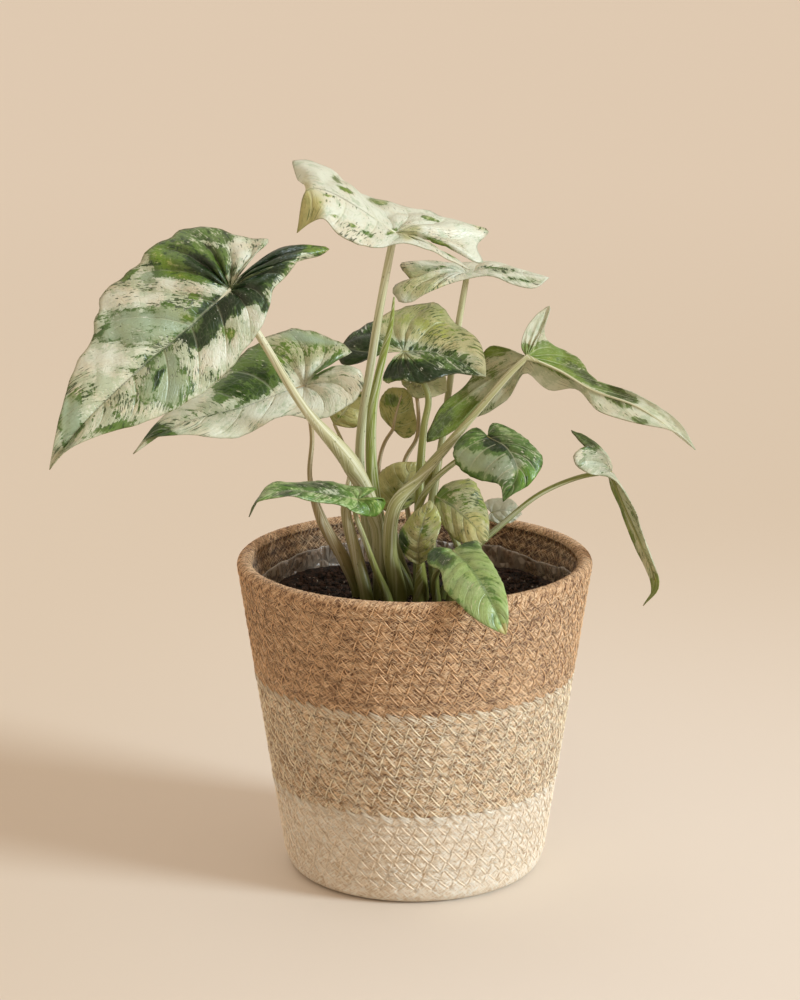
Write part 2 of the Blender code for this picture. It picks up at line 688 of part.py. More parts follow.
def liner(home):
    """A thin film cup inside the basket. Its top edge stands free of the wall and waves."""
    floor = BASE_THICKNESS + GAP
    lean_in = sum(size for _, size, _ in FILM_WAVES)

    def free_radius(angle):
        return inner_radius(FILM_TOP) - GAP - 1.0 * MM - lean_in + wave_sum(FILM_WAVES, angle)

    def edge_height(angle):
        return FILM_TOP + wave_sum(FILM_EDGE_WAVES, angle)

    outer_low = wall_radius(0) - WALL_THICKNESS - GAP
    outer_free = inner_radius(FILM_FREE_FROM) - GAP
    rings = [
        ring_of(lambda a: outer_low, lambda a: floor),
        ring_of(lambda a: outer_free, lambda a: FILM_FREE_FROM),
        ring_of(free_radius, edge_height),
        ring_of(lambda a: free_radius(a) - FILM, edge_height),
        ring_of(lambda a: outer_free - FILM, lambda a: FILM_FREE_FROM),
        ring_of(lambda a: outer_low - FILM, lambda a: floor + FILM),
    ]
    return stack("liner", rings, (0, 0, floor), (0, 0, floor + FILM), home)


def soil_height(x, y):
    """The lumpy top of the soil."""
    angle, reach = math.atan2(y, x), math.hypot(x, y) / (80 * MM)
    lumps = sum(size * math.sin(turns * angle + phase) * math.sin(rings * 3 * reach + phase)
                for turns, rings, size, phase in SOIL_LUMPS)
    return SOIL_TOP + lumps * min(1.0, reach * 2)


def soil(leaf_tubes, home):
    """The soil in the liner, with a plain hole for each stalk."""
    floor = BASE_THICKNESS + GAP + FILM + GAP
    low = wall_radius(0) - WALL_THICKNESS - 2 * GAP - FILM
    high = inner_radius(SOIL_TOP) - 2 * GAP - FILM - 0.3 * MM
    rings = [ring_of(lambda a: low, lambda a: floor), ring_of(lambda a: high, lambda a: SOIL_TOP - 1.5 * MM)]
    for radius in reversed(SOIL_RINGS):
        ring = ring_of(lambda a, r=radius * MM: r, lambda a: 0)
        rings.append([(x, y, soil_height(x, y)) for x, y, _ in ring])
    body = stack("soil", rings, (0, 0, floor), (0, 0, soil_height(0, 0)), home)
    holes = []
    for name, path, radii, resolution in leaf_tubes:
        short = [i for i, place in enumerate(path) if place[2] < SOIL_TOP + 14 * MM]
        last = short[-1] + 2
        line = np.array(path[:last])
        line[0, 2] -= HOLE_CLEARANCE
        holes.append(tube(name + "_hole", line, radii[:last], resolution, HOLE_CLEARANCE))
    return close_threads(join(body, holes, "DIFFERENCE"))


def material(name, colour, roughness, coat=0.0, transmission=0.0):
    """A plain Principled material."""
    made = bpy.data.materials.new(name)
    made.use_nodes = True
    surface = made.node_tree.nodes["Principled BSDF"]
    surface.inputs["Base Color"].default_value = (*colour, 1)
    surface.inputs["Roughness"].default_value = roughness
    surface.inputs["Coat Weight"].default_value = coat
    surface.inputs["Transmission Weight"].default_value = transmission
    made.diffuse_color = (*colour, 1)
    return made


LEAF_COLOURS = {
    "leaf_broad_left": (0.50, 0.55, 0.38),
    "leaf_low_left": (0.62, 0.66, 0.50),
    "leaf_high_middle": (0.76, 0.79, 0.66),
    "leaf_high_right": (0.72, 0.74, 0.56),
    "leaf_centre": (0.30, 0.37, 0.20),
    "leaf_under_centre": (0.45, 0.45, 0.22),
    "leaf_far_right": (0.42, 0.50, 0.24),
    "leaf_dark_right": (0.10, 0.22, 0.08),
    "leaf_drooping_right": (0.40, 0.48, 0.30),
    "leaf_small_left": (0.25, 0.42, 0.17),
    "leaf_over_rim": (0.16, 0.36, 0.09),
    "leaf_pale_right": (0.50, 0.52, 0.24),
    "leaf_spotted": (0.36, 0.42, 0.18),
    "leaf_brown_left": (0.45, 0.36, 0.20),
    "leaf_brown_middle": (0.45, 0.36, 0.20),
    "leaf_pale_behind": (0.60, 0.60, 0.38),
    "leaf_grey_behind": (0.36, 0.38, 0.22),
    SPEAR_NAME: (0.33, 0.50, 0.16),
}


def shade(mesh):
    """Smooth shading, with the sharper edges kept."""
    mesh.shade_smooth()
    mesh.set_sharp_from_angle(angle=SHARP_FROM)


def clear_scene():
    for thing in list(bpy.data.objects):
        bpy.data.objects.remove(thing)


def main():
    clear_scene()
    home = bpy.data.collections.new("potted_alocasia")
    bpy.context.scene.collection.children.link(home)
    dressed = [
        (cream_band(home), material("cream_rope", (0.74, 0.60, 0.44), 0.9)),
        (natural_band(home), material("natural_rope", (0.58, 0.41, 0.25), 0.9)),
        (brown_band(home), material("brown_rope", (0.40, 0.24, 0.12), 0.9)),
        (liner(home), material("film", (0.40, 0.36, 0.32), 0.25, transmission=0.3)),
    ]
    tubes = []
    for leaf in LEAVES:
        node = leaf_node(leaf, home)
        tubes.append((leaf.name, *stalk_path(leaf), STALK_RESOLUTION))
        dressed.append((node, material(leaf.name + "_green", LEAF_COLOURS[leaf.name], 0.45, 0.2)))
    path, radii = spear_path()
    spear = tube(SPEAR_NAME, path, radii, SPEAR_RESOLUTION)
    home.objects.link(spear)
    tubes.append((SPEAR_NAME, path, radii, SPEAR_RESOLUTION))
    dressed.append((spear, material("leaf_rolled_green", LEAF_COLOURS[SPEAR_NAME], 0.45, 0.2)))
    dressed.append((soil(tubes, home), material("soil_dark", (0.03, 0.02, 0.013), 1.0)))
    for node, look in dressed:
        node.data.materials.clear()
        node.data.materials.append(look)
        shade(node.data)


if __name__ == "__main__":
    main()
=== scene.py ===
"""Dresses the potted alocasia: marbled leaves, a stitched rope basket, its film liner and its soil.

Metres, +Z up, the photographed side towards -Y. Each point of the leaf tables is a place in the photograph,
in pixels right and down, with its depth in mm behind the basket's axis. They are the points of the part's
source, but for a few along the margins of two leaves, which are finer here.
"""

import logging
import math
from collections.abc import Callable, Sequence
from dataclasses import dataclass
from enum import Enum
from functools import partial

import bmesh
import bpy
import numpy as np
from mathutils import Euler, Matrix, Vector


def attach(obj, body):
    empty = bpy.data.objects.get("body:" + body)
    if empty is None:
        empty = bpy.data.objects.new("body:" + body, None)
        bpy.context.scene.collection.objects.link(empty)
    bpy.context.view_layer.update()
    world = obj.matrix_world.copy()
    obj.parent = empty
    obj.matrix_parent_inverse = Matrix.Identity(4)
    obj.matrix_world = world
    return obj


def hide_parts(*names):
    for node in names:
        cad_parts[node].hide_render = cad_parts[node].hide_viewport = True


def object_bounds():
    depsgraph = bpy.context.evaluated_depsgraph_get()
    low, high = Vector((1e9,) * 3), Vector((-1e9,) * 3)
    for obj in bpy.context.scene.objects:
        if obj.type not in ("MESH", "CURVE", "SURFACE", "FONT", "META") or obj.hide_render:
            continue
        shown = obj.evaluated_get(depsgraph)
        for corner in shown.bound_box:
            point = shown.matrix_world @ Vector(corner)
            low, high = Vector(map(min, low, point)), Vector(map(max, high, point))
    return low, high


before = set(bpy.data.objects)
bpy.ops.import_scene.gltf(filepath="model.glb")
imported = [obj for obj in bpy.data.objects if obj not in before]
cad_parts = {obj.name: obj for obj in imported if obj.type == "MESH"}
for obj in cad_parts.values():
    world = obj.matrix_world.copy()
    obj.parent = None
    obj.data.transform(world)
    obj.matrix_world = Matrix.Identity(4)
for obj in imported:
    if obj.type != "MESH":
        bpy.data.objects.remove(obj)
CAD_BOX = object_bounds()

LOG = logging.getLogger("potted_alocasia")
BODY = "root"
SEED = 7

Array = np.ndarray
Point = tuple[float, float, float]
Colour = tuple[float, float, float, float]
Steps = tuple[float, float]  # the two ends of a range, such as where a smooth rise starts and ends
Waves = tuple[tuple[float, float, float], ...]  # sine waves, each as its turns, its height and its phase
Rule = Callable[[Array, Array], Array]
Chance = np.random.Generator
Look = bpy.types.Material

MM = 0.001
TURN = 2 * math.pi
WELD = 0.002 * MM  # points closer than this become one
BOX_MARGIN = 0.4 * MM  # how far inside the CAD's box the points of a leaf stay
CURVE_STEPS = 24  # between two points that a smooth curve runs through

# How the pieces fit together
GAP = 0.3 * MM  # clear space between two pieces that touch
SOIL_TOP = 162.0 * MM
HOLE_DEPTH = 20.0 * MM  # how deep a stalk stands in the soil

# Blades
BLADE = 0.6 * MM  # thickness
RAY_SPACING = 2.8 * MM
RAYS = (36, 150)  # the least and the most rays of a half blade
RAY_STEPS = (10, 30)  # the least and the most steps of a ray
RAYS_A_STEP = 4  # a ray has one step for this many rays
LOBE_AHEAD = 0.04  # a margin point less far ahead of the stalk than this belongs to a back lobe
MOST_SHOULDER = 0.62  # the farthest along the margins that a back lobe may end
RAY_CROWDING = 1.15  # above 1 the rays stand closer at the stalk
RIB_POINTS = 200
VEIN_SWEEP = 0.7  # how far a side vein bends towards the tip on its way out, as a share of their spacing
SIDE_SHIFT = 37  # keeps the patterns of the two halves apart
EDGE_WAVE = 0.55 * MM  # height of the small waves along the margin
DENT = 0.010  # height of the small dents, as a share of the ray
FRAY = 0.012  # how uneven the margin is, as a share of the ray
TINT_PARTS = ("green", "depth", "lime")
PATCH_EDGE = (0.55, 1.35)  # where the edge of a patch starts and ends, as a share of its half sizes

# Stalks
RIB_RADIUS = 0.95 * MM
RIB_TIP_RADIUS = 0.5 * MM
RIB_SHARE = 0.82  # how much of the midrib stands out under the blade
RIB_SINK = 0.6  # how deep the midrib lies under the blade, as a share of its radius
RIB_STATIONS = 60
STALK_RISE = 3 * MM  # a stalk goes straight up from its hole to this height
STALK_STATIONS = 64
STALK_SIDES = 14
STALK_PALE_FROM = 45 * MM  # height above the soil at which a stalk has its pale colour
STALK_GREENING = (0.45, -0.27)  # how much greener it is at its foot and at its end
RIB_FIRST = 4  # the first station of the midrib that stands out under the blade

# The basket
COIL_BOW = 0.6  # the power that rounds a coil
STRAND_STATIONS = 4
STRAND_SHARE = np.linspace(0, 1, STRAND_STATIONS)[None, :]
TUBE_START = (0.31, -0.87, 0.22)  # a direction that no path starts in, from which a tube's sides are turned


def srgb(red: float, green: float, blue: float) -> Colour:
    """Turns a screen colour into a colour of the scene, by the standard screen curve.

    Args:
        red: its red, 0 to 255.
        green: its green.
        blue: its blue.

    Returns:
        The colour.
    """
    parts = [value / 255 for value in (red, green, blue)]
    linear = [part / 12.92 if part <= 0.04045 else ((part + 0.055) / 1.055) ** 2.4 for part in parts]
    return (linear[0], linear[1], linear[2], 1.0)


@dataclass(frozen=True)
class Viewpoint:
    """Where the photograph was taken from, and how a point of it becomes a place in the room."""

    back: float = 1699.4 * MM
    height: float = 657.6 * MM
    tilt: float = math.radians(14.34)
    focal_px: float = 3000.0
    axis_px: tuple[float, float] = (414.67, 500.0)
    frame_px: tuple[int, int] = (800, 1000)
    sensor_mm: float = 36.0

    def seen(self, point: Point) -> Array:
        """Turns a point of the photograph into a place.

        Args:
            point: pixels right, pixels down, and depth in mm behind the basket's axis.

        Returns:
            The place, as x, y and z in metres.
        """
        right, down, depth = point
        across = (right - self.axis_px[0]) / self.focal_px
        drop = (down - self.axis_px[1]) / self.focal_px
        cosine, sine = math.cos(self.tilt), math.sin(self.tilt)
        ray = np.array([across, cosine - drop * sine, -sine - drop * cosine])
        reach = (depth * MM + self.back) / ray[1]
        return np.array([0, -self.back, self.height]) + ray * reach

    def seen_line(self, points: Sequence[Point]) -> Array:
        """The places of a row of points of the photograph."""
        return np.array([self.seen(point) for point in points])

    def pixels(self, places: Array) -> tuple[Array, Array]:
        """Finds where places are seen in the photograph.

        Args:
            places: one row of x, y and z for each place.

        Returns:
            An array of pixels right and one of pixels down.
        """
        cosine, sine = math.cos(self.tilt), math.sin(self.tilt)
        ahead = (places[:, 1] + self.back) * cosine - (places[:, 2] - self.height) * sine
        rise = (places[:, 1] + self.back) * sine + (places[:, 2] - self.height) * cosine
        right = self.axis_px[0] + self.focal_px * places[:, 0] / ahead
        return right, self.axis_px[1] - self.focal_px * rise / ahead

    def make_camera(self) -> None:
        """Adds the camera that matches the photograph."""
        data = bpy.data.cameras.new("camera")
        data.sensor_width = self.sensor_mm
        data.lens = self.sensor_mm * self.focal_px / self.frame_px[1]
        data.shift_x = (self.frame_px[0] / 2 - self.axis_px[0]) / self.frame_px[1]
        camera = show("camera", data)
        camera.location = (0, -self.back, self.height)
        camera.rotation_euler = (math.pi / 2 - self.tilt, 0, 0)
        bpy.context.scene.camera = camera


VIEW = Viewpoint()


@dataclass(frozen=True)
class Noise:
    """A soft noise: how often it changes in a metre along each axis, how fine it is, and where it starts."""

    sizes: Point | float
    detail: float = 3.0
    rough: float = 0.55
    twist: float = 0.0
    offset: Point = (0, 0, 0)


class Wire:
    """A socket of a node tree that takes part in Python sums. Each sum adds its Math node."""

    def __init__(self, graph: "Graph", socket: bpy.types.NodeSocket) -> None:
        """Keeps the socket and the graph that it belongs to."""
        self.graph = graph
        self.socket = socket

    def _math(self, operation: str, first: "Wire | float", second: "Wire | float") -> "Wire":
        """The result of a Math node. Some operations leave the second value unread."""
        return self.graph.out("ShaderNodeMath", {"operation": operation}, {0: first, 1: second})

    def __add__(self, other: "Wire | float") -> "Wire":
        """The sum."""
        return self._math("ADD", self, other)

    __radd__ = __add__

    def __sub__(self, other: "Wire | float") -> "Wire":
        """The difference."""
        return self._math("SUBTRACT", self, other)

    def __rsub__(self, other: float) -> "Wire":
        """The difference, the other way round."""
        return self._math("SUBTRACT", other, self)

    def __mul__(self, other: "Wire | float") -> "Wire":
        """The product."""
        return self._math("MULTIPLY", self, other)

    __rmul__ = __mul__

    def __pow__(self, other: float) -> "Wire":
        """The power."""
        return self._math("POWER", self, other)

    def size(self) -> "Wire":
        """The value without its sign."""
        return self._math("ABSOLUTE", self, 0.0)

    def least(self, other: "Wire | float") -> "Wire":
        """The smaller of two values."""
        return self._math("MINIMUM", self, other)

    def most(self, other: "Wire | float") -> "Wire":
        """The larger of two values."""
        return self._math("MAXIMUM", self, other)

    def fraction(self) -> "Wire":
        """What is left above the whole number."""
        return self._math("FRACT", self, 0.0)

    def nearest_line(self) -> "Wire":
        """How far the value is from the nearest whole number, 0 to 0.5."""
        return self._math("PINGPONG", self, 0.5)

    def sway(self, share: float) -> "Wire":
        """How far soft noise is above or below its middle of 0.5, times a share."""
        return (self - 0.5) * share

    def step(self, low: float, high: float) -> "Wire":
        """A smooth rise from 0 at the low value to 1 at the high one. A high below low turns it round."""
        inputs = {"Value": self, "From Min": low, "From Max": high}
        return self.graph.out("ShaderNodeMapRange", {"interpolation_type": "SMOOTHSTEP"}, inputs)


class Graph:
    """A material's node tree, with the few kinds of node that the finishes need."""

    def __init__(self, name: str) -> None:
        """Makes a material that holds nothing but its output.

        Args:
            name: its name.
        """
        self.material = bpy.data.materials.new(name)
        self.material.use_nodes = True
        self.tree = self.material.node_tree
        self.tree.nodes.clear()
        self.output = self.tree.nodes.new("ShaderNodeOutputMaterial")

    def node(self, kind: str, settings: dict | None = None, inputs: dict | None = None) -> bpy.types.Node:
        """Adds one node.

        Args:
            kind: the node's type.
            settings: its own settings, which are set first.
            inputs: a value or a wire for each input, by name or number.

        Returns:
            The node.
        """
        made = self.tree.nodes.new(kind)
        for key, value in (settings or {}).items():
            setattr(made, key, value)
        for key, value in (inputs or {}).items():
            socket = made.inputs[key]
            if isinstance(value, Wire):
                self.tree.links.new(value.socket, socket)
            else:
                socket.default_value = value
        return made

    def out(self, kind: str, settings: dict | None = None, inputs: dict | None = None,
            output: str | int = 0) -> Wire:
        """Adds one node, as above, and takes one of its outputs, by name or number."""
        return Wire(self, self.node(kind, settings, inputs).outputs[output])

    def value(self, name: str) -> Wire:
        """A number that the mesh holds at each point."""
        return self.out("ShaderNodeAttribute", {"attribute_name": name}, output="Fac")

    def vector(self, name: str) -> Wire:
        """A place that the mesh holds at each point."""
        return self.out("ShaderNodeAttribute", {"attribute_name": name}, output="Vector")

    def map(self, name: str) -> Wire:
        """A UV map of the piece."""
        return self.out("ShaderNodeUVMap", {"uv_map": name})

    def place(self) -> Wire:
        """The place on the object, in metres."""
        return self.out("ShaderNodeTexCoord", output="Object")

    def part(self, at: Wire, axis: int) -> Wire:
        """One number of a place."""
        return self.out("ShaderNodeSeparateXYZ", None, {0: at}, axis)

    def stretched(self, at: Wire, sizes: Point | float, offset: Point = (0, 0, 0)) -> Wire:
        """A place with each axis multiplied by its size, and then moved."""
        scale = sizes if isinstance(sizes, tuple) else (sizes, sizes, sizes)
        return self.out("ShaderNodeMapping", None, {"Vector": at, "Scale": scale, "Location": offset})

    def noise(self, at: Wire, kind: Noise) -> Wire:
        """Soft noise at a place or on a UV map, about 0.5 on average."""
        inputs = {"Vector": self.stretched(at, kind.sizes, kind.offset), "Scale": 1.0, "Detail": kind.detail,
                  "Roughness": kind.rough, "Distortion": kind.twist}
        return self.out("ShaderNodeTexNoise", None, inputs)

    def cells(self, at: Wire, sizes: Point) -> Wire:
        """The distance to the nearest edge of random cells."""
        inputs = {"Vector": self.stretched(at, sizes), "Scale": 1.0}
        return self.out("ShaderNodeTexVoronoi", {"feature": "DISTANCE_TO_EDGE"}, inputs, "Distance")

    def blend(self, share: Wire | float, first: "Wire | Colour", second: "Wire | Colour") -> Wire:
        """A mix of two colours: the first where share is 0, and the second where it is 1."""
        return self.out("ShaderNodeMix", {"data_type": "RGBA"}, {0: share, 6: first, 7: second}, 2)

    def brighten(self, colour: Wire, amount: Wire) -> Wire:
        """A colour multiplied by a number."""
        return self.out("ShaderNodeVectorMath", {"operation": "SCALE"}, {0: colour, "Scale": amount})

    def bump(self, height: Wire, strength: float, distance: float) -> Wire:
        """A normal that follows a height, where a height of 1 is the distance in metres."""
        inputs = {"Strength": strength, "Distance": distance, "Height": height}
        return self.out("ShaderNodeBump", None, inputs)

    def surface(self, colour: Wire, roughness: Wire, normal: Wire, others: dict | None = None) -> Wire:
        """The Principled shader, with constants for its other inputs by name."""
        inputs = {"Base Color": colour, "Roughness": roughness, "Normal": normal} | (others or {})
        return self.out("ShaderNodeBsdfPrincipled", None, inputs)

    def mixed(self, share: Wire, first: Wire, second: Wire) -> Wire:
        """A mix of two shaders: the first where share is 0, and the second where it is 1."""
        return self.out("ShaderNodeMixShader", None, {0: share, 1: first, 2: second})

    def finish(self, shader: Wire) -> Look:
        """Sends a shader to the output and returns the material."""
        self.tree.links.new(shader.socket, self.output.inputs["Surface"])
        return self.material


def smooth_curve(points: Array, count: int) -> Array:
    """Runs a smooth curve through points, with knots spaced by the square roots of their distances.

    Args:
        points: what the curve runs through.
        count: how many even steps it is divided into.

    Returns:
        count + 1 places along the curve, one a row.
    """
    ends = np.vstack([2 * points[0] - points[1], points, 2 * points[-1] - points[-2]])
    knots = np.concatenate([[0], np.cumsum(np.sqrt(np.linalg.norm(np.diff(ends, axis=0), axis=1)))])
    dense = []
    for i in range(len(points) - 1):
        level, t = ends[i : i + 4], knots[i : i + 4]
        at = np.linspace(t[1], t[2], CURVE_STEPS, endpoint=False)[:, None]
        for reach in (1, 2):
            level = [(t[k + reach] - at) / (t[k + reach] - t[k]) * level[k]
                     + (at - t[k]) / (t[k + reach] - t[k]) * level[k + 1] for k in range(len(level) - 1)]
        dense.append((t[2] - at) / (t[2] - t[1]) * level[0] + (at - t[1]) / (t[2] - t[1]) * level[1])
    dense = np.vstack([*dense, points[-1:]])
    along = spans_of(dense)
    wanted = np.linspace(0, along[-1], count + 1)
    return np.stack([np.interp(wanted, along, dense[:, k]) for k in range(3)], axis=1)


def unit(vectors: Array) -> Array:
    """Vectors of length 1 in the same directions."""
    return vectors / np.maximum(np.linalg.norm(vectors, axis=-1, keepdims=True), 1e-9)


def spans_of(points: Array) -> Array:
    """How far along a line each of its points lies."""
    return np.concatenate([[0], np.cumsum(np.linalg.norm(np.diff(points, axis=0), axis=1))])


def smooth_rise(values: Array, low: float, high: float) -> Array:
    """0 below low, 1 above high, and a smooth rise between them."""
    share = np.clip((values - low) / (high - low), 0, 1)
    return share * share * (3 - 2 * share)


def waves_of(waves: Waves, at: Array) -> Array:
    """A sum of sine waves at each place along them."""
    return sum(size * np.sin(turns * at + phase) for turns, size, phase in waves)


def turned(radius: Array, angle: Array, height: Array) -> Array:
    """The places at a distance from the basket's axis, an angle round it and a height."""
    return np.stack([radius * np.cos(angle), radius * np.sin(angle), height], axis=-1)


def line_of(radius: Array, height: Array | float, shade: Array | float) -> Array:
    """A line of the basket's wall, with its radius, its height and its painted shade in each row."""
    return np.stack(np.broadcast_arrays(radius, height, shade), axis=1)


def station(share: Array, last: int) -> Array:
    """Which station of a line each share of its steps is, where last is the number of the last one."""
    return np.round(share * last).astype(int)


@dataclass
class MappedSheet:
    """A grid of faces, moved so that each of its points lies where a rule says.

    columns and rows count its faces. place turns the two shares of each point, 0 to 1 across and up the
    grid, into places. maps holds a rule for each UV map, and values one for each number or place kept at the
    points. strand is how many columns of points one strand has, where the grid is a row of strands. facing is
    the direction that most of an open sheet looks in.
    """

    name: str
    columns: int
    rows: int
    place: Rule
    maps: dict[str, Rule]
    values: dict[str, Rule]
    closed: bool = False
    strand: int = 0
    facing: Array | None = None

    def grid(self) -> tuple[bpy.types.Mesh, Array, Array]:
        """Makes the flat grid and moves its points to their places.

        Returns:
            The mesh, and the shares of each point across and up the grid.
        """
        built = bmesh.new()
        bmesh.ops.create_grid(built, x_segments=self.columns, y_segments=self.rows, size=1.0)
        mesh = mesh_from(built, self.name)
        across, up = (places_of(mesh)[:, k] / 2 + 0.5 for k in (0, 1))
        mesh.vertices.foreach_set("co", self.place(across, up).ravel())
        return mesh, across, up

    def keep_values(self, mesh: bpy.types.Mesh, across: Array, up: Array) -> None:
        """Writes the UV maps and the values into a mesh.

        Args:
            mesh: the mesh of the grid.
            across: the share of each point across the grid.
            up: its share up the grid.
        """
        corners = np.empty(len(mesh.loops), np.int32)
        mesh.loops.foreach_get("vertex_index", corners)
        for label, rule in self.maps.items():
            mesh.uv_layers.new(name=label).data.foreach_set("uv", rule(across, up)[corners].ravel())
        for label, rule in self.values.items():
            found = rule(across, up).astype(np.float32)
            kind, field = ("FLOAT_VECTOR", "vector") if found.ndim == 2 else ("FLOAT", "value")
            mesh.attributes.new(label, kind, "POINT").data.foreach_set(field, found.ravel())

    def part_strands(self, built: bmesh.types.BMesh, across: Array) -> None:
        """Deletes the faces between one strand and the next.

        Args:
            built: the grid, which is a row of strands.
            across: the share of each point across the grid.
        """
        column = station(across, self.columns) % self.strand
        between = [face for face in built.faces if np.ptp(column[[v.index for v in face.verts]]) > 1]
        bmesh.ops.delete(built, geom=between, context="FACES_ONLY")

    def turn_outwards(self, built: bmesh.types.BMesh) -> None:
        """Closes the ends of a closed sheet, and turns all faces outwards or to the side that it faces.

        Args:
            built: the grid.
        """
        if self.closed:
            bmesh.ops.holes_fill(built, edges=[e for e in built.edges if e.is_boundary], sides=0)
            bmesh.ops.recalc_face_normals(built, faces=built.faces)
        elif self.facing is not None:
            total = sum((face.normal * face.calc_area() for face in built.faces), Vector())
            if total.dot(Vector(self.facing)) < 0:
                bmesh.ops.reverse_faces(built, faces=built.faces)

    def build(self) -> bpy.types.Object:
        """Makes the object, with its seams closed and its faces outwards.

        Returns:
            The object.
        """
        mesh, across, up = self.grid()
        self.keep_values(mesh, across, up)
        built = bmesh.new()
        built.from_mesh(mesh)
        if self.strand:
            self.part_strands(built, across)
        bmesh.ops.remove_doubles(built, verts=built.verts, dist=WELD)
        self.turn_outwards(built)
        built.to_mesh(mesh)
        built.free()
        mesh.shade_smooth()
        return show(self.name, mesh)


@dataclass
class Tube:
    """A tube along a path, with one place and one radius for each station.

    section says how far the wall stands from the middle, as a share of the radius, by share of the length and
    share of the way round. strand is how many stations each has where the path is a row of separate strands.
    """

    name: str
    path: Array
    radii: Array
    sides: int
    section: Rule | None = None
    strand: int = 0

    def directions(self) -> tuple[Array, Array]:
        """Finds two directions across the tube at each station, which turn no more than the path does.

        Returns:
            The first and the second direction at each station.
        """
        step = self.strand or len(self.path)
        pieces = self.path.reshape(-1, step, 3)
        ahead = unit(np.concatenate([np.gradient(piece, axis=0) for piece in pieces]))
        first = np.empty_like(self.path)
        here = np.array(TUBE_START)
        for i, direction in enumerate(ahead):
            here = unit(here - direction * (here @ direction))
            first[i] = here
        return first, np.cross(ahead, first)

    def sheet(self, values: dict[str, Array]) -> MappedSheet:
        """Makes the sheet of the tube's wall.

        Args:
            values: one number for each station, by name, kept at the points.

        Returns:
            The sheet, whose UV map "wrap" holds metres along and metres round.
        """
        first, second = self.directions()
        along = spans_of(self.path)
        last = len(self.path) - 1

        def place(share: Array, turn: Array) -> Array:
            """Finds the places on the wall.

            Args:
                share: the share of the length.
                turn: the share of the way round.

            Returns:
                The places.
            """
            i, angle = station(share, last), TURN * np.mod(turn, 1)
            reach = self.radii[i] * (self.section(share, np.mod(turn, 1)) if self.section else 1.0)
            ring = first[i] * np.cos(angle)[:, None] + second[i] * np.sin(angle)[:, None]
            return self.path[i] + ring * reach[:, None]

        def wrap(share: Array, turn: Array) -> Array:
            """Metres along the tube and metres round it."""
            i = station(share, last)
            return np.stack([along[i], turn * TURN * self.radii[i]], axis=1)

        def kept(numbers: Array, share: Array, turn: Array) -> Array:
            """The number of each share's station, which is the same all the way round."""
            return numbers[station(share, last)]

        rules = {name: partial(kept, numbers) for name, numbers in values.items()}
        return MappedSheet(self.name, last, self.sides, place, {"wrap": wrap}, rules, True, self.strand)


def mesh_from(built: bmesh.types.BMesh, name: str) -> bpy.types.Mesh:
    """Turns what was built into a mesh.

    Args:
        built: the faces, which are freed afterwards.
        name: the name of the mesh.

    Returns:
        The mesh.
    """
    mesh = bpy.data.meshes.new(name)
    built.to_mesh(mesh)
    built.free()
    return mesh


def places_of(mesh: bpy.types.Mesh) -> Array:
    """Reads the places of a mesh's points.

    Args:
        mesh: the mesh.

    Returns:
        The places, one a row.
    """
    flat = np.empty(len(mesh.vertices) * 3)
    mesh.vertices.foreach_get("co", flat)
    return flat.reshape(-1, 3)


def show(name: str, data: bpy.types.ID) -> bpy.types.Object:
    """Puts a mesh, a light or the camera into the scene.

    Args:
        name: the name of its object.
        data: what the object holds.

    Returns:
        The object.
    """
    made = bpy.data.objects.new(name, data)
    bpy.context.scene.collection.objects.link(made)
    return made


def keep_inside(made: bpy.types.Object) -> None:
    """Brings the points that stand outside the CAD's box just inside its sides.

    Args:
        made: a piece of a leaf.
    """
    low, high = (np.array(side) for side in CAD_BOX)
    places = np.clip(places_of(made.data), low + BOX_MARGIN, high - BOX_MARGIN)
    made.data.vertices.foreach_set("co", places.ravel())


def settle(made: bpy.types.Object, slot: str, node: str, *looks: Look) -> None:
    """Gives a piece its materials and its body, and reports it.

    Args:
        made: the piece.
        slot: its material slot in the record; not used.
        node: the solid that it stands for.
        looks: its materials.
    """
    for look in looks:
        made.data.materials.append(look)
    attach(made, BODY)
    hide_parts(node)
    LOG.info("%s: %d faces, for %s", made.name, len(made.data.polygons), node)


class Tint(Enum):
    """What a part of a blade is made of: how much green covers it, how deep that is, and how lime."""

    WHITE = (0.15, 0.35, 0.12)
    CREAM = (0.20, 0.45, 0.25)
    MINT = (0.40, 0.02, 0.10)
    SPECKLED = (0.36, 0.55, 0.30)
    MARBLED = (0.56, 0.62, 0.25)
    GREY = (0.80, 0.06, 0.02)
    SLATE = (0.95, 0.66, 0.02)
    SAGE = (0.98, -0.15, 0.00)
    FRESH = (0.96, 0.32, 0.62)
    LEAFY = (1.15, 0.22, 0.72)
    OLIVE = (0.46, 0.36, 0.66)
    PALE_OLIVE = (0.25, 0.36, 0.76)
    STRAW = (0.12, 0.25, 1.00)
    BROWNISH = (0.28, 0.42, 1.00)
    GREEN = (0.92, 0.58, 0.45)
    DEEP = (1.00, 0.80, 0.35)
    DARK = (1.05, 1.08, 0.10)
    MOSS = (0.44, -0.06, 0.88)
    BRIGHT = (0.98, 0.52, 0.88)


@dataclass(frozen=True)
class Patch:
    """A soft uneven oval of one tint on a blade, placed as the photograph shows it.

    Its middle and its half sizes are in pixels, and its turn is clockwise in degrees.
    """

    right: float
    down: float
    across: float
    height: float
    turn: float
    tint: Tint

    def share(self, right: Array, down: Array) -> Array:
        """Finds how much of the patch each point takes.

        Args:
            right: the pixels right of each point.
            down: its pixels down.

        Returns:
            The shares, 0 to 1.
        """
        angle = math.radians(self.turn)
        x, y = right - self.right, down - self.down
        along = (x * math.cos(angle) + y * math.sin(angle)) / self.across
        aside = (y * math.cos(angle) - x * math.sin(angle)) / self.height
        bearing = np.arctan2(aside, along)
        uneven = waves_of(((2, 0.10, self.right), (3, 0.12, self.down), (5, 0.08, self.right * 3)), bearing)
        return 1 - smooth_rise(np.hypot(along, aside) + uneven, *PATCH_EDGE)


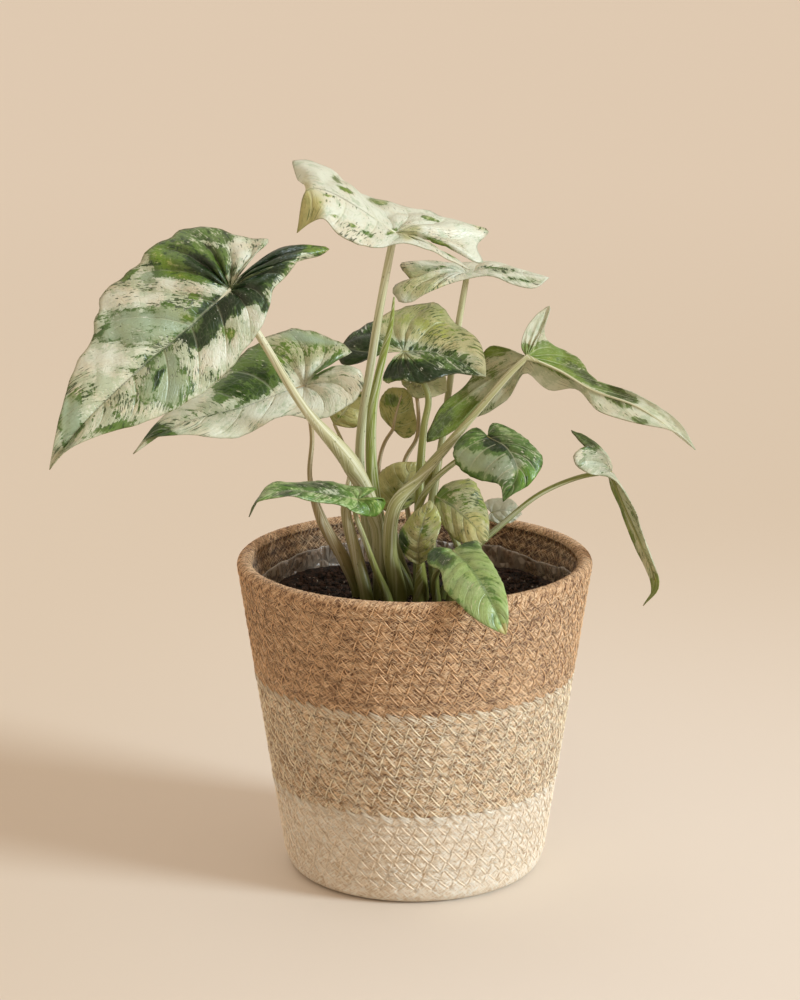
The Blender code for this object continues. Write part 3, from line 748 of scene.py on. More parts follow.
@dataclass(frozen=True)
class LeafFinish:
    """The colours of a kind of leaf, its noises, where its markings begin and end, and how it shines."""

    slot: str

    # The ground, the cool greens and the lime greens of a blade
    cream: Colour = srgb(232, 236, 222)
    warm_cream: Colour = srgb(226, 214, 190)
    mint: Colour = srgb(182, 198, 172)
    pale: Colour = srgb(160, 178, 148)
    middle: Colour = srgb(80, 108, 62)
    dark: Colour = srgb(14, 42, 12)
    lime_cream: Colour = srgb(198, 190, 126)
    lime_pale: Colour = srgb(174, 178, 92)
    lime_middle: Colour = srgb(108, 138, 24)
    lime_dark: Colour = srgb(34, 74, 6)
    vein: Colour = srgb(222, 228, 192)
    under: Colour = srgb(166, 166, 104)
    edge: Colour = srgb(128, 116, 66)
    through: Colour = srgb(206, 220, 160)

    # A stalk
    stalk_pale: Colour = srgb(214, 212, 176)
    stalk_green: Colour = srgb(132, 148, 62)
    stalk_warm: Colour = srgb(176, 146, 112)
    stalk_low: Colour = srgb(90, 94, 40)
    stalk_stripe: Colour = srgb(232, 234, 212)
    stalk_spot: Colour = srgb(74, 76, 38)

    # Noises in the room, and those on the flattened blade, which are longer along its side veins
    cloud: Noise = Noise(95, 8.0, 0.74, 0.5, (7, 3, 0))
    second_cloud: Noise = Noise(130, 7.0, 0.72, 0.5, (1, 5, 9))
    fine: Noise = Noise(620, 3.0, 0.6)
    wash: Noise = Noise(45, 3.0, 0.6)
    blister: Noise = Noise(210)
    streak: Noise = Noise((330, 110, 1), 4.0, 0.65, 0.3)
    dash: Noise = Noise((820, 290, 1), 2.0, 0.5, 0.3, (2, 4, 0))
    grain: Noise = Noise((900, 900, 1), 2.0)
    net_cells: Point = (300, 210, 1)

    # How far the cloud, the streaks and the fine noise move the edges of the green and its depth
    green_spread: Point = (1.7, 1.2, 0.4)
    depth_spread: Point = (1.7, 1.3, 0.5)

    # Where each marking begins and ends
    green_edge: Steps = (0.475, 0.525)
    veil_edge: Steps = (0.16, 0.40)
    half_deep: tuple[Steps, Steps] = ((0.05, 0.45), (0.30, 0.35))
    full_deep: tuple[Steps, Steps] = ((0.50, 1.00), (0.68, 0.73))
    speck_edge: Steps = (0.73, 0.76)
    stroke_edge: Steps = (0.70, 0.73)
    fleck_edge: Steps = (0.30, 0.27)
    warm_edge: Steps = (0.45, 0.65)
    side_vein: Steps = (0.0, 0.04)
    side_vein_fade: Steps = (0.6, 0.95)
    midrib: Steps = (0.008, 0.026)
    net_line: Steps = (0.0, 0.10)
    margin_edge: Steps = (0.970, 0.996)

    # How strongly each marking shows
    warmth: float = 0.7
    veil: float = 0.7
    strokes: float = 0.75
    specks: float = 0.85
    flecks: float = 0.7
    net: float = 0.05
    margin: float = 0.35

    # Shine
    roughness: float = 0.34
    roughness_below: float = 0.52
    stalk_roughness: float = 0.42
    coat: float = 0.12
    coat_roughness: float = 0.3
    see_through: float = 0.20
    green_stops: float = 0.45  # how much of the light that comes through is stopped by full green

    def upper(self) -> Look:
        """Makes the upper face: marbled and satin, with sunken veins, and painted shade between the
        swellings, darker on one side of each as if light fell from the side.

        Returns:
            Its material.
        """
        graph = Graph(f"{self.slot}_upper")
        marbling = Marbling(graph, self)
        grain = graph.noise(graph.map("leaf"), self.grain)
        blister = graph.noise(graph.place(), self.blister)
        pillow = (marbling.along.nearest_line() * 2.0) ** 0.7
        # Painted shade between the swellings, darker towards one side of each as if light fell from the side
        shaded = (1.0 - pillow) * 0.5 + marbling.along.fraction().step(0.15, 1.0) * 0.5
        colour = graph.brighten(marbling.colour, 1.0 - graph.value("fold_shade") * shaded * marbling.cover)
        height = grain * 0.2 + blister * 1.2 + pillow * 1.8 - marbling.veins
        shine = self.roughness + grain.sway(0.2) + (1.0 - marbling.cover) * 0.06
        coat = {"Coat Weight": self.coat, "Coat Roughness": self.coat_roughness}
        face = graph.surface(colour, shine, graph.bump(height, 0.6, 0.6 * MM), coat)
        return self.lit_through(graph, face, marbling.cover)

    def lower(self) -> Look:
        """Makes the lower face: paler and duller, with raised veins.

        Returns:
            Its material.
        """
        graph = Graph(f"{self.slot}_lower")
        marbling = Marbling(graph, self)
        grain = graph.noise(graph.map("leaf"), self.grain)
        bump = graph.bump(marbling.veins + grain * 0.2, 0.45, 0.45 * MM)
        pale = graph.blend(marbling.veins * 0.3, graph.blend(0.15, marbling.colour, self.under), self.vein)
        face = graph.surface(pale, self.roughness_below + grain.sway(0.15), bump)
        return self.lit_through(graph, face, marbling.cover)

    def lit_through(self, graph: Graph, face: Wire, cover: Wire) -> Look:
        """The finished material of a face, with the light that comes through where green doesn't cover it."""
        glow = graph.out("ShaderNodeBsdfTranslucent", None, {"Color": self.through})
        return graph.finish(graph.mixed(self.see_through * (1.0 - cover * self.green_stops), face, glow))

    def stalk(self) -> Look:
        """Makes the stalk: dark at the soil, paler at the blade, with long fine stripes.

        Returns:
            Its material.
        """
        graph = Graph(f"{self.slot}_stalk")
        wrap = graph.map("wrap")
        stripe = graph.noise(wrap, Noise((14, 900, 1), 3.0, 0.6))
        broad = graph.noise(wrap, Noise((9, 260, 1), 2.0, offset=(3, 5, 0)))
        spots = graph.noise(wrap, Noise((260, 420, 1)))
        rise, green, warm = graph.value("rise"), graph.value("green"), graph.value("warm")
        body = graph.blend(warm, graph.blend(green, self.stalk_pale, self.stalk_green), self.stalk_warm)
        colour = graph.blend((rise + broad.sway(0.4)).step(0.05, 0.85), self.stalk_low, body)
        pale = (stripe + broad.sway(0.8)).step(0.48, 0.64) * rise
        colour = graph.blend(pale * 0.45, colour, self.stalk_stripe)
        colour = graph.blend(stripe.step(0.47, 0.36) * 0.4, colour, self.stalk_low)
        colour = graph.blend(spots.step(0.64, 0.70) * 0.5, colour, self.stalk_spot)
        bump = graph.bump(stripe, 0.35, 0.3 * MM)
        coat = {"Coat Weight": 0.1, "Coat Roughness": 0.35}
        return graph.finish(graph.surface(colour, self.stalk_roughness + stripe.sway(0.2), bump, coat))


class Marbling:
    """The marbling of a blade: its colour, how much green covers it, and its pattern of veins.

    The values green, depth and lime come from the tints. Noise makes each uneven, and a steep rise then
    gives the crisp edges of the markings.
    """

    def __init__(self, graph: Graph, finish: LeafFinish) -> None:
        """Adds the marbling to a material.

        Args:
            graph: the material's tree.
            finish: its colours and markings.
        """
        self.graph = graph
        self.finish = finish
        leaf, place, lines = graph.map("leaf"), graph.place(), graph.map("lines")
        self.along, self.aside = graph.part(lines, 0), graph.part(lines, 1).size()
        self.cloud = graph.noise(place, finish.cloud)
        self.second_cloud = graph.noise(place, finish.second_cloud)
        self.fine, self.wash = graph.noise(place, finish.fine), graph.noise(place, finish.wash)
        self.streak, self.dash = graph.noise(leaf, finish.streak), graph.noise(leaf, finish.dash)
        self.green, self.depth, self.lime = (graph.value(part) for part in TINT_PARTS)
        self.cover = (self.green + self.uneven(self.cloud, finish.green_spread)).step(*finish.green_edge)
        self.hue = (self.lime + self.wash.sway(0.9)).most(0.0).least(1.0)
        self.net = 1.0 - graph.cells(leaf, finish.net_cells).step(*finish.net_line)
        veining = graph.value("veining")
        lines = self.main_veins(veining)
        colour = graph.blend(lines * veining, self.marked(), finish.vein)
        colour = graph.blend(self.net * self.cover * finish.net, colour, finish.vein)
        margin = (self.aside + self.cloud.sway(0.03)).step(*finish.margin_edge)
        self.colour = graph.blend(margin * finish.margin, colour, finish.edge)
        self.veins = lines.most(self.net * 0.3)

    def uneven(self, cloud: Wire, spread: Point) -> Wire:
        """How far a cloud, the streaks and the fine noise move an edge, each by its share of the spread."""
        return cloud.sway(spread[0]) + self.streak.sway(spread[1]) + self.fine.sway(spread[2])

    def greens(self) -> Wire:
        """Mixes the green parts, from pale over middle to dark, in cool greens or in lime ones.

        Returns:
            Their colour.
        """
        blend, finish = self.graph.blend, self.finish
        calm = self.graph.value("calm")
        deep = self.depth + self.uneven(self.second_cloud, finish.depth_spread) * (1.0 - calm)
        half, full = (deep.step(*soft) * 0.5 + deep.step(*crisp) * 0.5
                      for soft, crisp in (finish.half_deep, finish.full_deep))
        cool = blend(full, blend(half, finish.pale, finish.middle), finish.dark)
        warm = blend(full, blend(half, finish.lime_pale, finish.lime_middle), finish.lime_dark)
        return blend(self.hue, cool, warm)

    def light(self) -> Wire:
        """Mixes the cream parts, warmer in places.

        Returns:
            Their colour.
        """
        blend, finish = self.graph.blend, self.finish
        clean = blend(self.wash.step(*finish.warm_edge) * finish.warmth, finish.cream, finish.warm_cream)
        return blend(self.lime, clean, finish.lime_cream)

    def marked(self) -> Wire:
        """Mixes the ground with its green, and adds strokes, specks and flecks.

        Returns:
            The colour.
        """
        blend, finish = self.graph.blend, self.finish
        light, bare = self.light(), 1.0 - self.cover
        veil = (self.green + self.second_cloud.sway(2.0) + self.streak.sway(0.9)).step(*finish.veil_edge)
        ground = blend(veil * finish.veil, light, blend(self.lime, finish.mint, finish.under))
        colour = blend(self.cover, ground, self.greens())
        strokes = (self.streak + self.wash.sway(0.4) + self.green * 0.15).step(*finish.stroke_edge)
        leafy = blend(self.hue, finish.middle, finish.lime_middle)
        colour = blend(strokes * bare * finish.strokes, colour, leafy)
        specks = (self.dash + self.wash.sway(0.8) + self.green * 0.26).step(*finish.speck_edge)
        colour = blend(specks * bare * finish.specks, colour, blend(self.lime, finish.dark, finish.lime_dark))
        flecks = (self.dash + self.cloud.sway(0.8) + self.wash.sway(0.6)).step(*finish.fleck_edge)
        return blend(flecks * self.cover * finish.flecks, colour, light)

    def main_veins(self, veining: Wire) -> Wire:
        """Draws the midrib and the side veins.

        Args:
            veining: how pale the veins are, which also makes the side veins wider.

        Returns:
            1 on a vein and 0 beside it.
        """
        finish = self.finish
        side = 1.0 - (self.along.nearest_line() - veining * 0.05).step(*finish.side_vein)
        side = side * (1.0 - self.aside.step(*finish.side_vein_fade))
        return (side * 0.7).most(1.0 - (self.aside + self.fine.sway(0.01)).step(*finish.midrib))


class LeafKind(Enum):
    """The kinds of leaf, each with its finish."""

    WHITE = LeafFinish("white_green")
    MIXED = LeafFinish("mixed_green")
    GREEN = LeafFinish("full_green", lime_pale=srgb(174, 202, 112), lime_middle=srgb(98, 142, 42))
    BROWN = LeafFinish("brown_green")


def alike(value: float) -> Rule:
    """A rule that gives every point of a sheet the same value."""
    return lambda across, up: np.full(len(across), value)


def stalk_line(foot: tuple[float, float], knots: Array, radii: Sequence[float]) -> tuple[Array, Array]:
    """Draws the line of a stalk out of its hole in the soil.

    Args:
        foot: where it stands in the soil, in mm right and back from the middle.
        knots: the places that it runs through above the soil.
        radii: its radii in mm, at the foot and at each knot.

    Returns:
        The stations of its path and its radius at each.
    """
    low = np.array([foot[0] * MM, foot[1] * MM, SOIL_TOP])
    knots = np.vstack([low - (0, 0, HOLE_DEPTH), low + (0, 0, STALK_RISE), knots])
    path = smooth_curve(knots, STALK_STATIONS)
    spans = spans_of(knots)
    widths = np.interp(np.linspace(0, spans[-1], len(path)), spans, np.array([radii[0], *radii]) * MM)
    return path, widths


def rise_of(path: Array) -> Array:
    """How pale a stalk is at each station, by its height above the soil."""
    return np.clip((path[:, 2] - SOIL_TOP) / STALK_PALE_FROM, 0, 1)


@dataclass(frozen=True)
class Leaf:
    """One leaf. Points are (pixels right, pixels down, depth in mm) as the viewpoint reads them."""

    name: str
    foot: tuple[float, float]  # where it stands in the soil, in mm
    stalk: tuple[Point, ...]  # points from the soil to the blade
    radii: tuple[float, ...]  # of the stalk in mm: at the foot, at each point, and under the blade
    rib: tuple[Point, ...]  # the midrib, from the stalk to the leaf's tip
    far: tuple[Point, ...]  # the margin from the notch round one back lobe to the tip
    near: tuple[Point, ...]  # the same on the other side
    ground: Tint
    patches: tuple[Patch, ...] = ()
    bulge: float = 0.08  # how far a half blade arches, as a share of its width
    ripple: tuple[float, float] = (3, 1.2)  # waves along each margin, and their height in mm
    veins: int = 9  # side veins on each half
    veining: float = 0.30  # how pale the veins are
    swell: float = 0.045  # how far the blade swells between two side veins, as a share of its width
    lobe_swell: float = 0.6  # how much more the back lobes swell
    calm: float = 0.0  # how even its greens are
    stalk_green: float = 0.5
    stalk_warm: float = 0.2

    def upper_side(self) -> Array:
        """Finds which way the upper face looks where the stalk meets it, which is away from the stalk.

        Returns:
            The direction, of length 1.
        """
        rib = VIEW.seen_line(self.rib)
        across = VIEW.seen(self.far[len(self.far) // 2]) - VIEW.seen(self.near[len(self.near) // 2])
        normal = unit(np.cross(rib[-1] - rib[0], across))
        return normal if normal @ (VIEW.seen(self.stalk[-1]) - rib[0]) < 0 else -normal

    def margin(self, side: Sequence[Point], rays: int) -> Array:
        """One margin: rays + 1 points from the stalk round the back lobe to the tip."""
        return smooth_curve(VIEW.seen_line((self.rib[0], *side, self.rib[-1])), rays)

    def shoulder(self, margins: Sequence[Array]) -> float:
        """Finds where the back lobes end. Rays up to there start at the stalk.

        Args:
            margins: the points of both margins.

        Returns:
            How far along the margins that is, as a share.
        """
        start = VIEW.seen(self.rib[0])
        chord = VIEW.seen(self.rib[-1]) - start
        last = 0
        for margin in margins:
            ahead = (margin[:-1] - start) @ chord / (chord @ chord)
            last = max(last, int(np.flatnonzero(ahead < LOBE_AHEAD).max(initial=0)))
        return min(last / (len(margins[0]) - 1), MOST_SHOULDER)

    def reach(self) -> float:
        """The length of the longer margin."""
        return max(float(spans_of(VIEW.seen_line(side))[-1]) for side in (self.far, self.near))

    def stalk_tube(self) -> MappedSheet:
        """Makes the stalk, from its hole in the soil to the blade and on under the midrib.

        Returns:
            Its sheet, with the values that its finish reads.
        """
        sink = self.upper_side() * RIB_RADIUS * RIB_SINK
        rib = smooth_curve(VIEW.seen_line(self.rib), RIB_STATIONS)
        knots = np.vstack([VIEW.seen_line(self.stalk), rib[0] - sink])
        path, widths = stalk_line(self.foot, knots, self.radii)
        under = rib[RIB_FIRST : round(RIB_STATIONS * RIB_SHARE)]
        path = np.vstack([path, under - sink])
        widths = np.concatenate([widths, np.linspace(RIB_RADIUS, RIB_TIP_RADIUS, len(under))])
        values = {
            "rise": rise_of(path),
            "green": np.clip(self.stalk_green + np.linspace(*STALK_GREENING, len(path)), 0, 1),
            "warm": np.full(len(path), self.stalk_warm),
        }
        return Tube(self.name + "_stalk", path, widths, STALK_SIDES, stalk_section).sheet(values)

    def build(self, kind: LeafKind, looks: dict[str, Look], chance: Chance) -> None:
        """Builds and dresses the blade and the stalk.

        Args:
            kind: the kind of leaf, which gives the slot.
            looks: the materials "upper", "lower" and "stalk".
            chance: draws the small waves of the blade.
        """
        blade = Blade(self, chance).sheet().build()
        thick = blade.modifiers.new("thickness", "SOLIDIFY")
        thick.thickness = BLADE
        thick.offset = 0
        thick.material_offset = 1
        keep_inside(blade)
        settle(blade, kind.value.slot, self.name, looks["upper"], looks["lower"])
        stalk = self.stalk_tube().build()
        keep_inside(stalk)
        settle(stalk, kind.value.slot, self.name, looks["stalk"])


def stalk_section(share: Array, turn: Array) -> Array:
    """The wall of a stalk, as a share of its radius: faintly ribbed, with a groove along its lower part."""
    groove = np.exp(-(((turn - 0.2) / 0.07) ** 2)) * (1 - smooth_rise(share, 0.3, 0.6))
    return 0.97 - 0.14 * groove + 0.03 * np.cos(5 * TURN * turn)


class Blade:
    """The blade of a leaf, as rays from its midrib to both margins.

    A point of its sheet has a share along the margins and a share across, which is 0 at one margin, half at
    the midrib and 1 at the other margin.
    """

    def __init__(self, leaf: Leaf, chance: Chance) -> None:
        """Lays out the rays.

        Args:
            leaf: the leaf.
            chance: draws where its small waves and its pattern start.
        """
        self.leaf = leaf
        self.rays = int(np.clip(leaf.reach() / RAY_SPACING, *RAYS))
        self.steps = int(np.clip(self.rays // RAYS_A_STEP, *RAY_STEPS))
        self.up = leaf.upper_side()
        self.margins = np.stack([leaf.margin(side, self.rays) for side in (leaf.far, leaf.near)])
        self.shoulder = leaf.shoulder(self.margins)
        self.spans = np.stack([spans_of(margin) for margin in self.margins])
        rib = smooth_curve(VIEW.seen_line(leaf.rib), RIB_POINTS)
        share = np.arange(self.rays + 1) / self.rays
        along = np.maximum(0, (share - self.shoulder) / (1 - self.shoulder)) ** RAY_CROWDING
        at = along * RIB_POINTS
        self.roots = np.stack([np.interp(at, np.arange(RIB_POINTS + 1), rib[:, k]) for k in range(3)], axis=1)
        self.phases = chance.uniform(0, TURN, 6)
        self.shift = chance.uniform(0, 5, 2)

    def at(self, along: Array, across: Array) -> tuple[Array, Array, Array]:
        """Which ray each point is on, which half it is in, and its share of the way out to the margin."""
        return station(along, self.rays), (across > 0.5).astype(int), np.abs(2 * across - 1)

    def lobe(self, along: Array) -> Array:
        """1 on the back lobes and 0 on the rest of the blade."""
        return 1 - smooth_rise(along, self.shoulder * 0.6, self.shoulder + 0.1)

    def lines(self, along: Array, across: Array) -> Array:
        """Makes the map "lines", which the veins are drawn from.

        Args:
            along: the share of each point along the margins.
            across: its share across the blade.

        Returns:
            Two numbers a point: the first is whole on a side vein, and the second is 0 on the midrib.
        """
        _, side, out = self.at(along, across)
        vein = along * self.leaf.veins - VEIN_SWEEP * out * out
        return np.stack([vein + side * SIDE_SHIFT, (2 * side - 1) * out], axis=1)

    def flat(self, along: Array, across: Array) -> Array:
        """Flattens the blade for the map "leaf", in metres along its side veins' sweep and across it.

        Args:
            along: the share of each point along the margins.
            across: its share across the blade.

        Returns:
            Two numbers for each point.
        """
        i, side, out = self.at(along, across)
        width = np.linalg.norm(self.margins[side, i] - self.roots[i], axis=1)
        down = (along - VEIN_SWEEP * out * out / self.leaf.veins) * self.spans[side, -1]
        return np.stack([down + self.shift[0], (2 * side - 1) * out * width + self.shift[1]], axis=1)

    def lift(self, along: Array, across: Array, width: Array) -> Array:
        """Raises the blade: its arch, its waved margin, the swellings between its veins, and small dents.

        Args:
            along: the share of each point along the margins.
            across: its share across the blade.
            width: the length of its ray.

        Returns:
            How far each point stands above the flat ray.
        """
        leaf, phases = self.leaf, self.phases
        _, side, out = self.at(along, across)
        taper = np.sin(np.pi * along)
        waves, height = leaf.ripple
        wave = height * MM * taper * np.sin(TURN * waves * along)
        wave += EDGE_WAVE * taper * waves_of(((23, 0.6, phases[0]), (41, 0.4, phases[1])), along + side * 0.3)
        lift = leaf.bulge * width * 4 * out * (1 - out) + wave * out * out
        between = np.abs(np.sin(np.pi * self.lines(along, across)[:, 0])) ** 0.6
        swell = leaf.swell * (1 + leaf.lobe_swell * self.lobe(along))
        lift += swell * width * between * np.minimum(1, 4 * out) * (1 - out) ** 0.7
        dents = waves_of(((31, 1, phases[2]), (57, 0.7, phases[3]), (90, 0.5, phases[4])),
                         along + 0.2 * side + 0.25 * out)
        return lift + width * DENT * np.minimum(1, 3 * out) * dents

    def place(self, along: Array, across: Array) -> Array:
        """Places the points of the blade.

        Args:
            along: the share of each point along the margins.
            across: its share across the blade.

        Returns:
            The places, one a row.
        """
        i, side, out = self.at(along, across)
        ray = self.margins[side, i] - self.roots[i]
        normal = unit(self.up - unit(ray) * (unit(ray) @ self.up)[:, None])
        fray = waves_of(((83, 1, self.phases[4]), (131, 0.8, self.phases[5])), along + side)
        frayed = 1 + FRAY * fray * out * out * np.sin(np.pi * along)
        lift = self.lift(along, across, np.linalg.norm(ray, axis=1))
        return self.roots[i] + ray * (out * frayed)[:, None] + normal * lift[:, None]

    def tint(self, part: int, along: Array, across: Array) -> Array:
        """Mixes one part of the tints, the ground's first and then each patch over it.

        Args:
            part: which number of the tints.
            along: the share of each point along the margins.
            across: its share across the blade.

        Returns:
            That number at each point.
        """
        right, down = VIEW.pixels(self.place(along, across))
        found = np.full(len(along), float(self.leaf.ground.value[part]))
        for patch in self.leaf.patches:
            found += patch.share(right, down) * (patch.tint.value[part] - found)
        return found

    def fold_shade(self, along: Array, across: Array) -> Array:
        """How much painted shade lies between the swellings: more on the back lobes, and none at the margin.
        """
        depth = np.minimum(0.8, 0.2 + 0.3 * self.leaf.lobe_swell * self.lobe(along))
        return depth * np.minimum(1, 3 - 3 * self.at(along, across)[2])

    def sheet(self) -> MappedSheet:
        """Makes the sheet of the blade.

        Returns:
            The sheet, with the maps and the values that its finish reads.
        """
        values = {name: partial(self.tint, part) for part, name in enumerate(TINT_PARTS)}
        values |= {"veining": alike(self.leaf.veining), "calm": alike(self.leaf.calm), "fold_shade": self.fold_shade}
        maps = {"leaf": self.flat, "lines": self.lines}
        name = self.leaf.name + "_blade"
        return MappedSheet(name, self.rays, 2 * self.steps, self.place, maps, values, facing=self.up)


@dataclass(frozen=True)
class Spear:
    """The newest leaf, still rolled up."""

    name: str = "leaf_rolled"
    foot: tuple[float, float] = (-4, 10)
    points: tuple[Point, ...] = ((386, 545, 10), (372, 472, 8), (372, 411, 3), (376, 387, 2), (383, 357, 1),
                                 (391, 325, 0), (394, 297, 0))
    radii: tuple[float, ...] = (3.8, 3.6, 3.6, 3.0, 2.7, 2.5, 1.6, 0.5)
    roll: float = 0.10  # how far the rolled edge stands out, as a share of the radius
    twist: float = 1.6  # turns of that edge along the spear
    rolled_from: Steps = (0.45, 0.6)
    ribs: float = 0.03  # how deep the stalk's ribs are, as a share of the radius

    def section(self, share: Array, turn: Array) -> Array:
        """Shapes the wall: ribbed below, and above with an edge that winds round it.

        Args:
            share: the share of the length.
            turn: the share of the way round.

        Returns:
            How far the wall stands out, as a share of the radius.
        """
        edge, rolled = np.mod(turn - self.twist * share, 1), smooth_rise(share, *self.rolled_from)
        ribs = self.ribs * np.cos(4 * TURN * turn) * (1 - rolled)
        return 1 - self.roll * rolled * np.clip(edge * 1.1, 0, 1) - ribs

    def build(self, kind: LeafKind, look: Look) -> None:
        """Builds and dresses it.

        Args:
            kind: the kind of leaf, which gives the slot.
            look: the material of its stalk.
        """
        path, widths = stalk_line(self.foot, VIEW.seen_line(self.points), self.radii)
        values = {"rise": rise_of(path), "green": np.full(len(path), 1.0), "warm": np.zeros(len(path))}
        spear = Tube(self.name + "_spear", path, widths, STALK_SIDES, self.section).sheet(values).build()
        keep_inside(spear)
        settle(spear, kind.value.slot, self.name, look)


@dataclass(frozen=True)
class Yarn:
    """How one band's rope and its sewing thread look."""

    name: str
    deep: Colour
    body: Colour
    bright: Colour
    thread: Colour
    shade_strength: float = 1.0  # strength of the painted shade in the grooves, round the thread and on the inner face
    long: Noise = Noise((2000, 2000, 420), 3.0, 0.6)
    coarse: Noise = Noise((900, 900, 230), 2.0, 0.5, 0.4, (3, 1, 2))
    crossing: Noise = Noise((980, 980, 250), 2.0, 0.5, 0.4)
    tufts: Noise = Noise((420, 420, 700), 4.0, 0.65)
    patch: Noise = Noise(34)
    uneven: Noise = Noise((420, 900, 1))
    twist: Noise = Noise((2600, 2600, 1), 2.0)

    def rope(self) -> Look:
        """Makes fibres that run slanting round the coils, with painted shade in the grooves, round the thread
        and on the inner face.

        Returns:
            The material.
        """
        graph = Graph(f"{self.name}_fibres")
        fibre, groove = graph.vector("fibre"), graph.value("groove")
        long, coarse = graph.noise(fibre, self.long), graph.noise(fibre, self.coarse)
        coarse = coarse.most(graph.noise(graph.vector("cross"), self.crossing))
        patch, tufts = graph.noise(graph.place(), self.patch), graph.noise(graph.place(), self.tufts)
        light = long * 0.15 + coarse * 0.70 + tufts * 0.15 + patch.sway(0.12)
        # The groove value is painted shade: it darkens the rope and pulls it towards the deep colour
        colour = graph.blend((light - groove * 0.05).step(0.46, 0.51), self.deep, self.body)
        colour = graph.blend(light.step(0.56, 0.61), colour, self.bright)
        shade = 1.0 - groove * groove * 0.55 * self.shade_strength
        bump = graph.bump(long * 0.5 + tufts * 0.4 + coarse * 1.2, 1.0, 1.3 * MM)
        colour = graph.brighten(colour, shade)
        return graph.finish(graph.surface(colour, 0.82 + long.sway(0.2), bump, {"Sheen Weight": 0.15}))

    def strand(self, name: str, colour: Colour) -> Look:
        """Makes the material of thin thread or fibres, uneven along their length, some darker than others.

        Args:
            name: what the material is called after the yarn.
            colour: the colour of the brightest ones.

        Returns:
            The material.
        """
        graph = Graph(f"{self.name}_{name}")
        wrap = graph.map("wrap")
        colour = graph.blend(graph.value("tone"), self.deep, colour)
        uneven, twist = graph.noise(wrap, self.uneven), graph.noise(wrap, self.twist)
        bump = graph.bump(twist, 0.4, 0.15 * MM)
        shade = 0.78 + uneven * 0.45
        return graph.finish(graph.surface(graph.brighten(colour, shade), 0.6 + twist.sway(0.2), bump))


@dataclass(frozen=True)
class Band:
    """One band of the basket: its place, its coils, its yarn and how many loose fibres it has."""

    node: str
    slot: str
    low: float
    high: float
    coils: int
    yarn: Yarn
    fibres: int
    base: bool = False
    rim: bool = False

    @property
    def pitch(self) -> float:
        """The height of a coil."""
        return (self.high - self.low) / self.coils

    def bow(self, height: Array) -> Array:
        """How far a coil stands out at each height: 1 in its middle, and 0 in the grooves."""
        return np.abs(np.sin(np.pi * (self.high - height) / self.pitch)) ** COIL_BOW


@dataclass(frozen=True)
class Row:
    """One row of sewing round the basket."""

    middle: float  # its height
    rise: float  # how high a stitch is
    stitches: int
    start: float  # where it starts, in stitches


@dataclass(frozen=True)
class Strands:
    """Short fibres on the basket. Lengths and radii are in mm, from the least to the most."""

    name: str
    length: Steps
    radius: Steps
    tone: Steps
    thin: float  # how thin the ends are, as a share of the middle


FIBRES = Strands("fibres", (2.5, 6), (0.12, 0.27), (0.1, 1.0), 0.35)
BUNDLES = Strands("bundles", (6, 10), (0.14, 0.26), (0.5, 1.0), 0.4)


